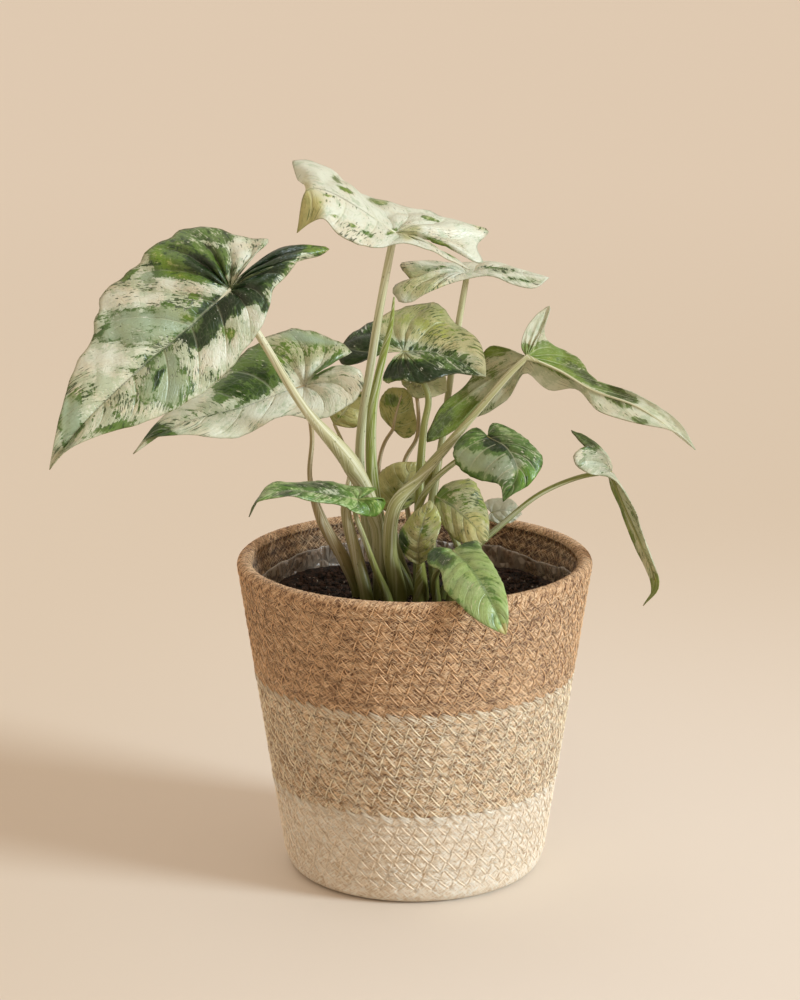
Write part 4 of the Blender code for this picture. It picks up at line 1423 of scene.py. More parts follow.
@dataclass(frozen=True)
class Basket:
    """The coiled rope basket in its three bands. A line of its wall holds a radius, a height and a painted
    shade.
    """

    height: float = 190.0 * MM
    top_radius: float = 104.2 * MM
    base_radius: float = 75.6 * MM
    wall: float = 7.0 * MM
    floor: float = 6.5 * MM
    corner: float = 10.0 * MM
    rim_radius: float = 4.2 * MM
    rim_arc: Steps = (172, 18)  # in degrees
    relief: float = 0.55 * MM
    closing: float = 0.14 * MM  # how far each band's edge reaches to meet its neighbour
    edge_bow: float = 0.75
    # Painted shade at the rounded foot, on the underside, and on the inner floor and face of the lowest band
    foot_shade: float = 0.3
    under_shade: float = 0.4
    inner_shade: float = 0.5
    stitch: float = 10.2 * MM
    stitch_rise: float = 1.3  # of a coil
    stitch_fall: float = 0.68  # how much of a stitch its long falling stroke takes
    stitch_dip: float = 0.8 * MM
    stitch_strokes: tuple[int, int] = (6, 4)  # thread points of the falling and of the rising stroke
    crossing: float = 1.8 * MM  # how far the lowest row of a band reaches over the band below
    stitch_width: float = 0.9 * MM
    hole_width: float = 1.3 * MM
    thread_radius: float = 0.36 * MM
    wrap_pitch: float = 9.0 * MM
    wraps: int = 3
    wrap_points: int = 12  # in each turn round the rim
    fibre_slants: tuple[float, float] = (1.6, -1.2)
    bundle: int = 9  # fibres in a bundle at the upper edge of a band
    wobble: float = 0.10 * MM
    wobbles: Waves = ((23, 1, 0.3), (61, 0.8, 2.0), (97, 0.6, 4.1))
    turns: int = 520
    points_a_coil: int = 7
    bands: tuple[Band, ...] = (
        Band("basket_cream", "cream_rope", 10.0 * MM, 57.0 * MM, 8,
             Yarn("cream", srgb(214, 188, 152), srgb(251, 236, 212), srgb(255, 252, 240), srgb(254, 240, 218),
                  0.2), 2000, base=True),
        Band("basket_natural", "natural_rope", 57.3 * MM, 121.0 * MM, 10,
             Yarn("natural", srgb(146, 108, 68), srgb(236, 204, 162), srgb(255, 246, 224),
                  srgb(255, 242, 212)), 3800),
        Band("basket_brown", "brown_rope", 121.3 * MM, 185.8 * MM, 10,
             Yarn("brown", srgb(112, 76, 46), srgb(210, 168, 124), srgb(250, 218, 176),
                  srgb(232, 192, 148)), 4600, rim=True),
    )

    def radius(self, height: Array | float) -> Array | float:
        """The outer radius of the wall at a height, in the grooves between its coils."""
        return self.base_radius + (self.top_radius - self.base_radius) * height / self.height

    def outside(self, band: Band) -> Array:
        """Draws the line down a band's outer face, coil by coil.

        Args:
            band: the band.

        Returns:
            The line.
        """
        turns = np.linspace(0, band.coils, band.coils * self.points_a_coil + 1)
        height = band.high - turns * band.pitch
        bow = np.sin(np.pi * np.mod(turns, 1)) ** COIL_BOW
        bow[[0, -1]] = self.edge_bow
        height[[0, -1]] += np.array([self.closing, -self.closing])
        # 1 - bow is painted shade, darkest in the grooves between the coils
        return line_of(self.radius(height) + self.relief * bow, height, 1 - bow)

    def inside(self, band: Band) -> Array:
        """Draws the line up a band's inner face, which shows its coils only in the upper band.

        Args:
            band: the band.

        Returns:
            The line.
        """
        rise = np.linspace(band.low, band.high, band.coils * 4 + 1 if band.rim else 2)
        bow = band.bow(rise) if band.rim else np.ones(len(rise))
        # 2 - bow is painted shade: the inner face is painted at least as dark as the grooves of the outer
        # face
        return line_of(self.radius(rise) - self.wall + (1 - bow) * self.relief, rise, 2 - bow)

    def foot(self) -> Array:
        """Draws the line round the foot and along the underside to the axis.

        Returns:
            The line.
        """
        angles = np.radians(np.linspace(0, -90, 12))[1:]
        middle = self.radius(self.corner) - self.corner
        rounded = line_of(middle + self.corner * np.cos(angles), self.corner + self.corner * np.sin(angles),
                          self.foot_shade)
        return np.vstack([rounded, line_of(np.linspace(middle, 0, 15)[1:], 0, self.under_shade)])

    def rim_middle(self, band: Band) -> float:
        """The distance from the axis to the middle of the rolled rim."""
        return self.radius(band.high) + self.relief - self.rim_radius

    def section(self, band: Band) -> Array:
        """Draws the whole line round a band's wall.

        Args:
            band: the band.

        Returns:
            The line.
        """
        outside = self.outside(band)
        if band.base:
            floor = line_of(np.array([0, self.radius(0) - self.wall]), self.floor, self.inner_shade)
            edge = [(self.radius(band.high) - self.wall, band.high, self.inner_shade)]
            return np.vstack([floor, edge, outside, self.foot()])
        inside = self.inside(band)
        if not band.rim:
            return np.vstack([inside, outside, inside[:1]])
        angles = np.radians(np.linspace(*self.rim_arc, 16))
        rim = line_of(self.rim_middle(band) + self.rim_radius * np.cos(angles),
                      band.high + self.rim_radius * np.sin(angles), 0)
        return np.vstack([inside, rim, outside, inside[:1]])

    def rows(self, band: Band) -> list[Row]:
        """Lays out the rows of sewing of a band, from its upper edge down, as one thread goes round them.

        Args:
            band: the band.

        Returns:
            The rows.
        """
        found = []
        run = 0.0
        for k in range(band.coils):
            rise = band.pitch * (1.0 if k in (0, band.coils - 1) else self.stitch_rise)
            middle = band.high - (k + 0.5) * band.pitch
            if k == band.coils - 1 and not band.base:
                middle -= self.crossing
            around = TURN * float(self.radius(middle))
            found.append(Row(middle, rise, round(around / self.stitch), run / self.stitch))
            run += around
        return found

    def swing(self, phase: Array) -> Array:
        """How high the thread is at each phase of a stitch: 1 at its upper hole and 0 at its lower one."""
        fall = self.stitch_fall
        return np.where(phase < fall, 1 - phase / fall, (phase - fall) / (1 - fall))

    def stitch_near(self, band: Band, angle: Array, height: Array) -> Array:
        """Finds how near places on the wall are to a thread.

        Args:
            band: the band that they are on.
            angle: the angle of each place round the axis.
            height: its height.

        Returns:
            1 on a thread, and 0 well away from it.
        """
        near = np.zeros(len(angle))
        fall = self.stitch_fall
        for row in self.rows(band):
            share = (height - row.middle) / row.rise + 0.5
            phase = np.mod(np.mod(angle / TURN, 1) * row.stitches + row.start, 1)
            inside = (share > -0.05) & (share < 1.05)
            for level, width in (((1 - share) * fall, fall), (fall + share * (1 - fall), 1 - fall)):
                slope = math.hypot(width * self.stitch, row.rise)
                aside = (np.mod(phase - level + 0.5, 1) - 0.5) * self.stitch * row.rise / slope
                near = np.maximum(near, 0.6 * np.exp(-((aside / self.stitch_width) ** 2)) * inside)
            for tip, level in ((fall, 0), (0, 1)):
                across = (np.mod(phase - tip + 0.5, 1) - 0.5) * self.stitch
                away = np.hypot(across, (share - level) * row.rise)
                near = np.maximum(near, np.exp(-((away / self.hole_width) ** 2)))
        return near

    def rope_sheet(self, band: Band) -> MappedSheet:
        """Makes the rope of a band, pressed in where its thread runs.

        Args:
            band: the band.

        Returns:
            Its sheet, with the values that its finish reads.
        """
        line = self.section(band)
        spans = spans_of(line[:, :2])
        last = len(line) - 1

        def place(across: Array, up: Array) -> Array:
            """Finds the places on the wall, with its wobble and its pressed-in stitches.

            Args:
                across: the share of the way round.
                up: the share of the line.

            Returns:
                The places.
            """
            i, angle = station(up, last), TURN * across
            radius, height = line[i, 0], line[i, 1]
            wobble = self.wobble * waves_of(self.wobbles, angle + height * 40)
            outside = radius > self.radius(height) - 0.1 * MM
            dip = self.stitch_dip * self.stitch_near(band, angle, height) * outside
            pressed = radius - np.abs(wobble) - dip
            return turned(np.where(radius > self.corner, pressed, radius), angle, height)

        def slanted(slant: float, across: Array, up: Array) -> Array:
            """The wall unrolled into a straight cylinder and turned as it rises, for fibres that slant."""
            rise = spans[station(up, last)]
            return turned(self.top_radius, TURN * across + slant * rise / self.top_radius, rise)

        def groove(across: Array, up: Array) -> Array:
            """How much painted shade each place gets: its line's shade, most in the grooves and inside, and
            more round the thread.
            """
            i = station(up, last)
            return np.clip(line[i, 2] * 0.4 + self.stitch_near(band, TURN * across, line[i, 1]) * 0.8, 0, 1)

        values = {name: partial(slanted, slant) for name, slant in zip(("fibre", "cross"), self.fibre_slants)}
        values["groove"] = groove
        return MappedSheet(band.node + "_rope", self.turns, last, place, {}, values, closed=True)

    def thread(self, band: Band) -> MappedSheet:
        """Makes the zigzag sewing of a band, one row over each groove, as one thread.

        Args:
            band: the band.

        Returns:
            Its sheet.
        """
        fall, (falling, rising) = self.stitch_fall, self.stitch_strokes
        phases = np.concatenate([np.linspace(0, fall, falling)[:-1], np.linspace(fall, 1, rising)[:-1]])
        rows = []
        for row in self.rows(band):
            at = (np.arange(row.stitches)[:, None] + phases[None, :]).ravel()
            swing = self.swing(np.mod(at, 1))
            height = row.middle + (swing - 0.5) * row.rise
            proud = self.thread_radius * (2.0 * np.sin(np.pi * swing) ** 0.5 - 1.6)
            dip = self.stitch_dip * (0.4 + 0.6 * np.abs(2 * swing - 1) ** 6)
            radius = self.radius(height) + self.relief * band.bow(height) - dip + proud
            radius += self.thread_radius * 0.6
            rows.append(turned(radius, (at - row.start) / row.stitches * TURN, height))
        path = np.vstack(rows)
        tone = 0.85 + 0.15 * np.sin(np.arange(len(path)) * 0.37)
        thick = np.full(len(path), self.thread_radius)
        return Tube(band.node + "_thread", path, thick, 4).sheet({"tone": tone})

    def strands(self, band: Band, kind: Strands, paths: Array, chance: Chance) -> MappedSheet:
        """Makes short fibres.

        Args:
            band: the band that they lie on.
            kind: what they are called, and their radii and tones.
            paths: the stations of each, one fibre a row.
            chance: draws how thick and how bright each is.

        Returns:
            Their sheet.
        """
        belly = kind.thin + (1 - kind.thin) * np.sin(np.pi * (0.1 + 0.8 * STRAND_SHARE))
        thick = (chance.uniform(*kind.radius, (len(paths), 1)) * MM * belly).ravel()
        tone = np.repeat(chance.uniform(*kind.tone, len(paths)), STRAND_STATIONS)
        name = f"{band.node}_{kind.name}"
        return Tube(name, paths.reshape(-1, 3), thick, 3, strand=STRAND_STATIONS).sheet({"tone": tone})

    def fibres(self, band: Band, chance: Chance) -> MappedSheet:
        """Makes the short loose fibres that lie slanting on the coils.

        Args:
            band: the band that they lie on.
            chance: draws where each lies and its form.

        Returns:
            Their sheet.
        """
        each = (band.fibres, 1)
        length = chance.uniform(*FIBRES.length, each) * MM
        drop = length * chance.uniform(-0.4, 0.9, each)
        start = chance.uniform(0, TURN, each)
        centre = chance.uniform(band.low + 3 * MM, band.high - 2 * MM, each)
        height = np.clip(centre + drop * (0.5 - STRAND_SHARE), band.low, band.high)
        proud = np.sin(np.pi * STRAND_SHARE) * chance.uniform(0.1, 0.5, each) * MM
        radius = self.radius(height) + self.relief * band.bow(height) + proud - 0.1 * MM
        angle = start + length / self.top_radius * STRAND_SHARE
        return self.strands(band, FIBRES, turned(radius, angle, height), chance)

    def bundles(self, band: Band, chance: Chance) -> MappedSheet:
        """Makes the bright fibre bundles that cross the upper edge of a band, one to each stitch.

        Args:
            band: the band.
            chance: draws where each fibre lies and its form.

        Returns:
            Their sheet.
        """
        around = round(TURN * float(self.radius(band.high)) / self.stitch)
        start = np.repeat(np.arange(around) * TURN / around, self.bundle)[:, None]
        start = start + chance.normal(0, 0.8 * MM / self.top_radius, start.shape)
        length = chance.uniform(*BUNDLES.length, start.shape) * MM
        top = band.high + chance.uniform(0.2, 2.6, start.shape) * MM
        height = top - STRAND_SHARE * chance.uniform(2.5, 5.5, start.shape) * MM
        radius = self.radius(height) + self.relief + (0.05 + 0.45 * np.sin(np.pi * STRAND_SHARE)) * MM
        angle = start + length / self.top_radius * STRAND_SHARE
        return self.strands(band, BUNDLES, turned(radius, angle, height), chance)

    def rim_wrap(self, band: Band) -> MappedSheet:
        """Makes the threads wound round the rim.

        Args:
            band: the band with the rim.

        Returns:
            Their sheet.
        """
        middle = self.rim_middle(band)
        turns = round(TURN * middle / self.wrap_pitch)
        points = turns * self.wrap_points + 1
        at = np.tile(np.linspace(0, 1, points), self.wraps)
        around = TURN * (turns * at + np.repeat(np.arange(self.wraps) / self.wraps, points))
        reach = self.rim_radius - 0.05 * MM
        path = turned(middle + reach * np.cos(around), TURN * at, band.high + reach * np.sin(around))
        tone = 0.5 + 0.4 * np.sin(at * 900)
        thick = np.full(len(path), self.thread_radius)
        return Tube(band.node + "_wrap", path, thick, 4, strand=points).sheet({"tone": tone})

    def build(self, chance: Chance) -> None:
        """Builds and dresses the three bands.

        Args:
            chance: draws their fibres.
        """
        for band in self.bands:
            thread = band.yarn.strand("thread", band.yarn.thread)
            loose = band.yarn.strand("loose", band.yarn.bright)
            settle(self.rope_sheet(band).build(), band.slot, band.node, band.yarn.rope())
            settle(self.thread(band).build(), band.slot, band.node, thread)
            settle(self.fibres(band, chance).build(), band.slot, band.node, loose)
            if band.rim:
                settle(self.rim_wrap(band).build(), band.slot, band.node, thread)
            else:
                settle(self.bundles(band, chance).build(), band.slot, band.node, loose)


@dataclass(frozen=True)
class Liner:
    """The thin film cup, which crumples where it stands free of the wall."""

    node: str = "liner"
    slot: str = "film"
    floor: float = 6.8 * MM
    top: float = 175.0 * MM
    free_from: float = 165.0 * MM
    film: float = 0.4 * MM
    lean: float = 3.1 * MM  # how far the free edge leans inwards
    waves: Waves = ((7, 1.3 * MM, 0.4), (11, 0.8 * MM, 1.9))
    edge_waves: Waves = ((3, 2.2 * MM, 2.4), (8, 1.2 * MM, 0.5))
    pleats: Waves = ((37, 0.35 * MM, 1.0), (64, 0.22 * MM, 2.2), (113, 0.12 * MM, 0.4))
    turns: int = 320
    steps: int = 20
    dull: Colour = srgb(156, 131, 107)
    cloudy: Colour = srgb(180, 166, 150)
    edge: Colour = srgb(214, 206, 196)
    cloud: Noise = Noise((90, 90, 60), 4.0, 0.6)
    crease_cells: Point = (210, 210, 110)

    def sheet(self, basket: Basket) -> MappedSheet:
        """Makes the cup, as one line from its outside bottom over the edge to its inside, turned round.

        Args:
            basket: what it stands in.

        Returns:
            Its sheet, with the value "edge" that its finish reads.
        """
        share = np.linspace(0, 1, self.steps)
        line = np.concatenate([[0.0], 0.5 * share, [0.5], 0.5 * share[::-1], [0.0]])
        last = len(line) - 1
        inner = np.arange(len(line)) > len(line) // 2
        off_axis = np.array([0] + [1] * (len(line) - 2) + [0])

        def place(across: Array, up: Array) -> Array:
            """Finds the places on the film.

            Args:
                across: the share of the way round.
                up: the share of the line.

            Returns:
                The places.
            """
            i, angle = station(up, last), TURN * across
            height = np.interp(line[i], [0, 0.2, 0.5], [self.floor, self.free_from, self.top])
            free = smooth_rise(height, self.free_from - 8 * MM, self.top)
            backed = basket.radius(height) - basket.wall - GAP
            crumple = np.abs(waves_of(self.pleats, angle + 3 * height))
            radius = backed - free * (self.lean - waves_of(self.waves, angle)) - (0.3 + 0.7 * free) * crumple
            height = height + free * (waves_of(self.edge_waves, angle) + waves_of(self.pleats, 0.7 * angle))
            height = height + np.where(inner[i] & (line[i] < 0.01), self.film, 0)
            return turned((radius - np.where(inner[i], self.film, 0)) * off_axis[i], angle, height)

        def edge(across: Array, up: Array) -> Array:
            """1 at the upper edge of the film, and 0 below it."""
            return smooth_rise(line[station(up, last)], 0.46, 0.5)

        return MappedSheet(self.node + "_cup", self.turns, last, place, {}, {"edge": edge}, closed=True)

    def look(self) -> Look:
        """Makes cloudy film that lets some light through.

        Returns:
            The material.
        """
        graph = Graph("film_cloudy")
        place, edge = graph.place(), graph.value("edge")
        cloud, crease = graph.noise(place, self.cloud), graph.cells(place, self.crease_cells)
        colour = graph.blend(cloud.step(0.35, 0.65), self.dull, self.cloudy)
        colour = graph.blend(edge * 0.7, colour, self.edge)
        bump = graph.bump(crease * 1.6 + cloud, 1.0, 3.0 * MM)
        face = graph.surface(colour, 0.14 + cloud * 0.2, bump, {"Coat Weight": 0.5})
        clear = graph.out("ShaderNodeBsdfTransparent")
        return graph.finish(graph.mixed(0.34 + cloud.sway(0.5) - edge * 0.2, face, clear))

    def build(self, basket: Basket) -> None:
        """Builds and dresses it."""
        settle(self.sheet(basket).build(), self.slot, self.node, self.look())


@dataclass(frozen=True)
class Grit:
    """A kind of loose grain on the soil, with its least and its greatest radius in mm."""

    name: str
    count: int
    sizes: Steps


@dataclass(frozen=True)
class Soil:
    """The potting soil, with loose crumbs and white grains on top."""

    node: str = "soil"
    slot: str = "soil"
    floor: float = 8.0 * MM
    clear: float = 1.6 * MM  # between the soil and the wall
    lumps: tuple[tuple[float, float, float, float], ...] = ((3, 2, 1.2 * MM, 0.7), (5, 3, 0.9 * MM, 2.1),
                                                             (8, 2, 0.6 * MM, 4.0))
    roughness: float = 0.5 * MM
    turns: int = 170
    rings: int = 60
    strewn: float = 84 * MM  # how far from the middle crumbs lie
    crumbs: Grit = Grit("soil_crumbs", 2200, (0.5, 2.4))
    grains: Grit = Grit("soil_white_grains", 320, (0.35, 0.9))
    lump: Noise = Noise(260, 5.0, 0.7)
    grit: Noise = Noise(1500, 3.0, 0.6)

    def height(self, x: Array, y: Array) -> Array:
        """Finds the height of the lumpy top.

        Args:
            x: how far right of the axis each place is.
            y: how far behind it.

        Returns:
            The height of each place.
        """
        angle, reach = np.arctan2(y, x), np.hypot(x, y) / (80 * MM)
        lumps = sum(size * np.sin(turns * angle + phase) * np.sin(rings * 3 * reach + phase)
                    for turns, rings, size, phase in self.lumps)
        rough = self.roughness * np.sin(x * 900 + 2 * np.sin(y * 700)) * np.sin(y * 800 + 2 * np.sin(x * 600))
        return SOIL_TOP + (lumps + rough) * np.minimum(1.0, reach * 2)

    def bed(self, basket: Basket) -> MappedSheet:
        """Makes the soil, as one line from the middle of its top to the middle of its base, turned round.

        Args:
            basket: what it stands in.

        Returns:
            Its sheet.
        """
        wide, low = (float(basket.radius(height)) - basket.wall - self.clear for height in (SOIL_TOP, 0))
        radii = np.concatenate([np.linspace(0, wide - 1 * MM, self.rings), [wide, low, 0]])
        last = len(radii) - 1

        def place(across: Array, up: Array) -> Array:
            """Finds the places on the soil.

            Args:
                across: the share of the way round.
                up: the share of the line.

            Returns:
                The places.
            """
            i = station(up, last)
            flat = turned(radii[i], TURN * across, np.full(len(i), self.floor))
            height = np.where(i < self.rings, self.height(flat[:, 0], flat[:, 1]), self.floor)
            flat[:, 2] = np.where(i == self.rings, SOIL_TOP - 1.5 * MM, height)
            return flat

        return MappedSheet(self.node + "_bed", self.turns, last, place, {}, {}, closed=True)

    def scatter(self, kind: Grit, chance: Chance) -> bpy.types.Object:
        """Strews small uneven grains on the soil.

        Args:
            kind: the kind of grain.
            chance: draws where each lies, its size and its form.

        Returns:
            All of them as one object.
        """
        built = bmesh.new()
        reach = self.strewn * np.sqrt(chance.uniform(0, 1, kind.count))
        angle = chance.uniform(0, TURN, kind.count)
        x, y = reach * np.cos(angle), reach * np.sin(angle)
        size = chance.uniform(*kind.sizes, kind.count) * MM
        height = self.height(x, y)
        for i in range(kind.count):
            turn = Euler(chance.uniform(0, 6.28, 3)).to_matrix().to_4x4()
            squash = Matrix.Diagonal((*(size[i] * chance.uniform(0.6, 1.3, 3)), 1))
            where = Matrix.Translation((x[i], y[i], height[i] + size[i] * 0.2))
            made = bmesh.ops.create_icosphere(built, subdivisions=1, radius=1.0, matrix=where @ turn @ squash)
            for vertex in made["verts"]:
                vertex.co += Vector(chance.normal(0, size[i] * 0.12, 3))
        return show(kind.name, mesh_from(built, kind.name))

    def look(self, name: str, dark: Colour, light: Colour, glint: float) -> Look:
        """Makes damp crumbly earth, or pale grains.

        Args:
            name: the name of the material.
            dark: the colour of its hollows.
            light: the colour of its lumps.
            glint: how much less rough the lumps are.

        Returns:
            The material.
        """
        graph = Graph(name)
        lump, grit = graph.noise(graph.place(), self.lump), graph.noise(graph.place(), self.grit)
        colour = graph.blend((lump * 0.6 + grit * 0.4).step(0.43, 0.62), dark, light)
        bump = graph.bump(lump + grit * 0.6, 1.0, 3.0 * MM)
        return graph.finish(graph.surface(colour, 0.9 - lump.step(0.5, 0.7) * glint, bump))

    def build(self, basket: Basket, chance: Chance) -> None:
        """Builds and dresses the bed, its crumbs and its grains.

        Args:
            basket: what the soil stands in.
            chance: draws the crumbs and the grains.
        """
        earth = self.look("soil_damp", srgb(8, 5, 3), srgb(88, 56, 35), 0.3)
        pale = self.look("soil_grains", srgb(170, 160, 146), srgb(228, 222, 210), 0.1)
        settle(self.bed(basket).build(), self.slot, self.node, earth)
        settle(self.scatter(self.crumbs, chance), self.slot, self.node, earth)
        settle(self.scatter(self.grains, chance), self.slot, self.node, pale)


WHITE_LEAVES = (
    Leaf("leaf_broad_left", (-20, 2),
        ((377, 525, -2), (352, 465, -21), (305, 409, -43), (262, 340, -62)),
        (5.0, 4.6, 6.0, 2.7, 2.3, 2.0),
        ((230, 290, -66), (182, 333, -78), (147, 362, -88), (88, 419, -104), (49, 470, -112)),
        ((240, 268, -56), (269, 240, -40), (248, 238, -38), (222, 229, -38), (192, 228, -42),
         (164, 241, -50), (145, 254, -56), (134, 269, -60), (104, 291, -66), (96, 318, -76), (92, 340, -80),
         (75, 368, -88), (60, 415, -104)),
        ((258, 262, -60), (289, 246, -54), (330, 248, -50), (312, 257, -56), (303, 256, -60),
         (285, 278, -62), (273, 292, -70), (267, 317, -76), (243, 352, -84), (204, 392, -94),
         (155, 419, -104), (97, 436, -112), (66, 451, -114)),
        Tint.SPECKLED,
        (Patch(185, 258, 50, 26, 25, Tint.GREEN), Patch(205, 268, 22, 9, 35, Tint.DARK),
         Patch(160, 258, 20, 7, 40, Tint.BRIGHT), Patch(180, 276, 22, 4, 25, Tint.BRIGHT),
         Patch(205, 234, 30, 6, 10, Tint.GREEN), Patch(240, 255, 12, 14, 0, Tint.WHITE),
         Patch(153, 281, 15, 8, 0, Tint.GREY), Patch(126, 276, 11, 4, -25, Tint.GREEN),
         Patch(125, 300, 40, 12, 0, Tint.WHITE), Patch(190, 287, 50, 6, 8, Tint.WHITE),
         Patch(150, 325, 55, 20, -5, Tint.GREY), Patch(192, 297, 7, 2, 0, Tint.BRIGHT),
         Patch(186, 319, 7, 3, 0, Tint.BRIGHT), Patch(215, 312, 25, 13, -35, Tint.DARK),
         Patch(198, 340, 20, 9, 0, Tint.DARK), Patch(229, 333, 7, 5, 0, Tint.BRIGHT),
         Patch(275, 262, 45, 13, -38, Tint.DARK), Patch(250, 298, 17, 22, 0, Tint.DARK),
         Patch(318, 249, 14, 5, 0, Tint.BRIGHT), Patch(255, 318, 14, 14, 0, Tint.WHITE),
         Patch(215, 355, 28, 12, -30, Tint.WHITE), Patch(165, 380, 24, 26, 0, Tint.GREY),
         Patch(158, 378, 4, 12, 20, Tint.DARK), Patch(100, 360, 30, 16, 0, Tint.WHITE),
         Patch(115, 428, 22, 4, -15, Tint.GREEN), Patch(70, 420, 12, 25, 0, Tint.GREY)),
        0.07, veins=13, veining=0.25, swell=0.06, lobe_swell=2.0, stalk_green=0.1),
    Leaf("leaf_low_left", (-33, 7),
        ((346, 562, 4), (322, 520, -1), (310, 478, -8), (312, 435, -12)),
        (4.6, 4.4, 3.6, 1.6, 1.5, 1.4),
        ((304, 386, -12), (286, 391, -16), (245, 406, -24), (178, 425, -38), (133, 454, -44)),
        ((315, 364, -4), (352, 352, 4), (321, 334, 10), (286, 331, 12), (250, 348, 4), (210, 385, -14),
         (160, 419, -34)),
        ((335, 366, -16), (361, 371, -20), (360, 393, -20), (321, 420, -23), (283, 416, -26),
         (235, 438, -36), (180, 435, -44), (150, 438, -46)),
        Tint.CREAM,
        (Patch(295, 350, 60, 20, -5, Tint.OLIVE), Patch(305, 338, 30, 6, 10, Tint.GREY),
         Patch(246, 386, 42, 17, -25, Tint.DEEP), Patch(250, 356, 20, 9, -25, Tint.GREEN),
         Patch(328, 366, 22, 4, -38, Tint.GREEN), Patch(290, 404, 60, 13, -12, Tint.WHITE),
         Patch(345, 386, 18, 13, 0, Tint.WHITE), Patch(205, 412, 38, 7, -22, Tint.SPECKLED),
         Patch(156, 432, 22, 12, 30, Tint.DEEP)),
        calm=0.5, stalk_warm=0.7),
    Leaf("leaf_high_middle", (-15, 15),
        ((373, 545, 18), (360, 460, 17), (373, 351, 12), (384, 285, 8)),
        (4.8, 4.2, 3.2, 2.7, 2.5, 2.2),
        ((394, 233, 4), (362, 210, 2), (325, 190, -4), (307, 190, -10), (297, 233, -16)),
        ((418, 232, 4), (450, 250, 8), (483, 261, 12), (477, 247, 22), (487, 231, 34), (470, 226, 38),
         (432, 214, 42), (394, 203, 44), (357, 191, 44), (330, 170, 40), (293, 161, 30), (298, 179, 18),
         (306, 188, 4), (303, 206, -6)),
        ((416, 239, -4), (440, 251, -3), (470, 270, 0), (455, 264, -8), (428, 250, -11), (404, 242, -11),
         (369, 248, -18), (340, 236, -22), (324, 219, -20), (312, 222, -18)),
        Tint.WHITE,
        (Patch(409, 233, 12, 7, 0, Tint.PALE_OLIVE), Patch(308, 212, 14, 28, 0, Tint.STRAW),
         Patch(336, 180, 5, 1.6, 35, Tint.GREEN), Patch(345, 190, 7, 1.8, 30, Tint.BRIGHT),
         Patch(328, 196, 8, 1.3, 8, Tint.OLIVE), Patch(378, 202, 11, 2.5, 10, Tint.FRESH),
         Patch(430, 219, 8, 1.8, 15, Tint.FRESH), Patch(367, 234, 7, 2, 25, Tint.GREEN),
         Patch(392, 232, 6, 2, -30, Tint.FRESH), Patch(444, 248, 18, 4.5, 31, Tint.BRIGHT),
         Patch(481, 226, 7, 2.5, -30, Tint.OLIVE), Patch(334, 216, 5, 1.5, 20, Tint.OLIVE),
         Patch(352, 226, 4, 2, 30, Tint.FRESH), Patch(298, 230, 5, 6, 0, Tint.BROWNISH)),
        0.05, swell=0.03, stalk_green=0.15, stalk_warm=0.1),
    Leaf("leaf_high_right", (12, 14),
        ((431, 520, 24), (443, 435, 34), (451, 375, 44), (460, 315, 52)),
        (3.4, 3.2, 2.3, 2.2, 2.1, 1.8),
        ((467, 274, 56), (487, 269, 56), (515, 272, 54), (549, 278, 50)),
        ((455, 279, 50), (437, 284, 48), (415, 281, 50), (400, 266, 56), (420, 262, 66), (448, 262, 72),
         (485, 262, 74), (515, 268, 64), (540, 275, 56)),
        ((452, 280, 46), (425, 284, 42), (400, 283, 40), (392, 292, 36), (405, 304, 30), (425, 295, 33),
         (445, 284, 40), (470, 278, 46), (494, 278, 45), (512, 284, 43), (535, 288, 44)),
        Tint.WHITE,
        (Patch(424, 286, 28, 17, 0, Tint.PALE_OLIVE), Patch(500, 270, 16, 3, 5, Tint.MARBLED),
         Patch(534, 281, 12, 3, 10, Tint.MARBLED), Patch(416, 290, 5, 3, 0, Tint.OLIVE),
         Patch(430, 268, 14, 2, -5, Tint.MARBLED), Patch(512, 279, 12, 2, 5, Tint.MARBLED)),
        stalk_green=0.35),
)

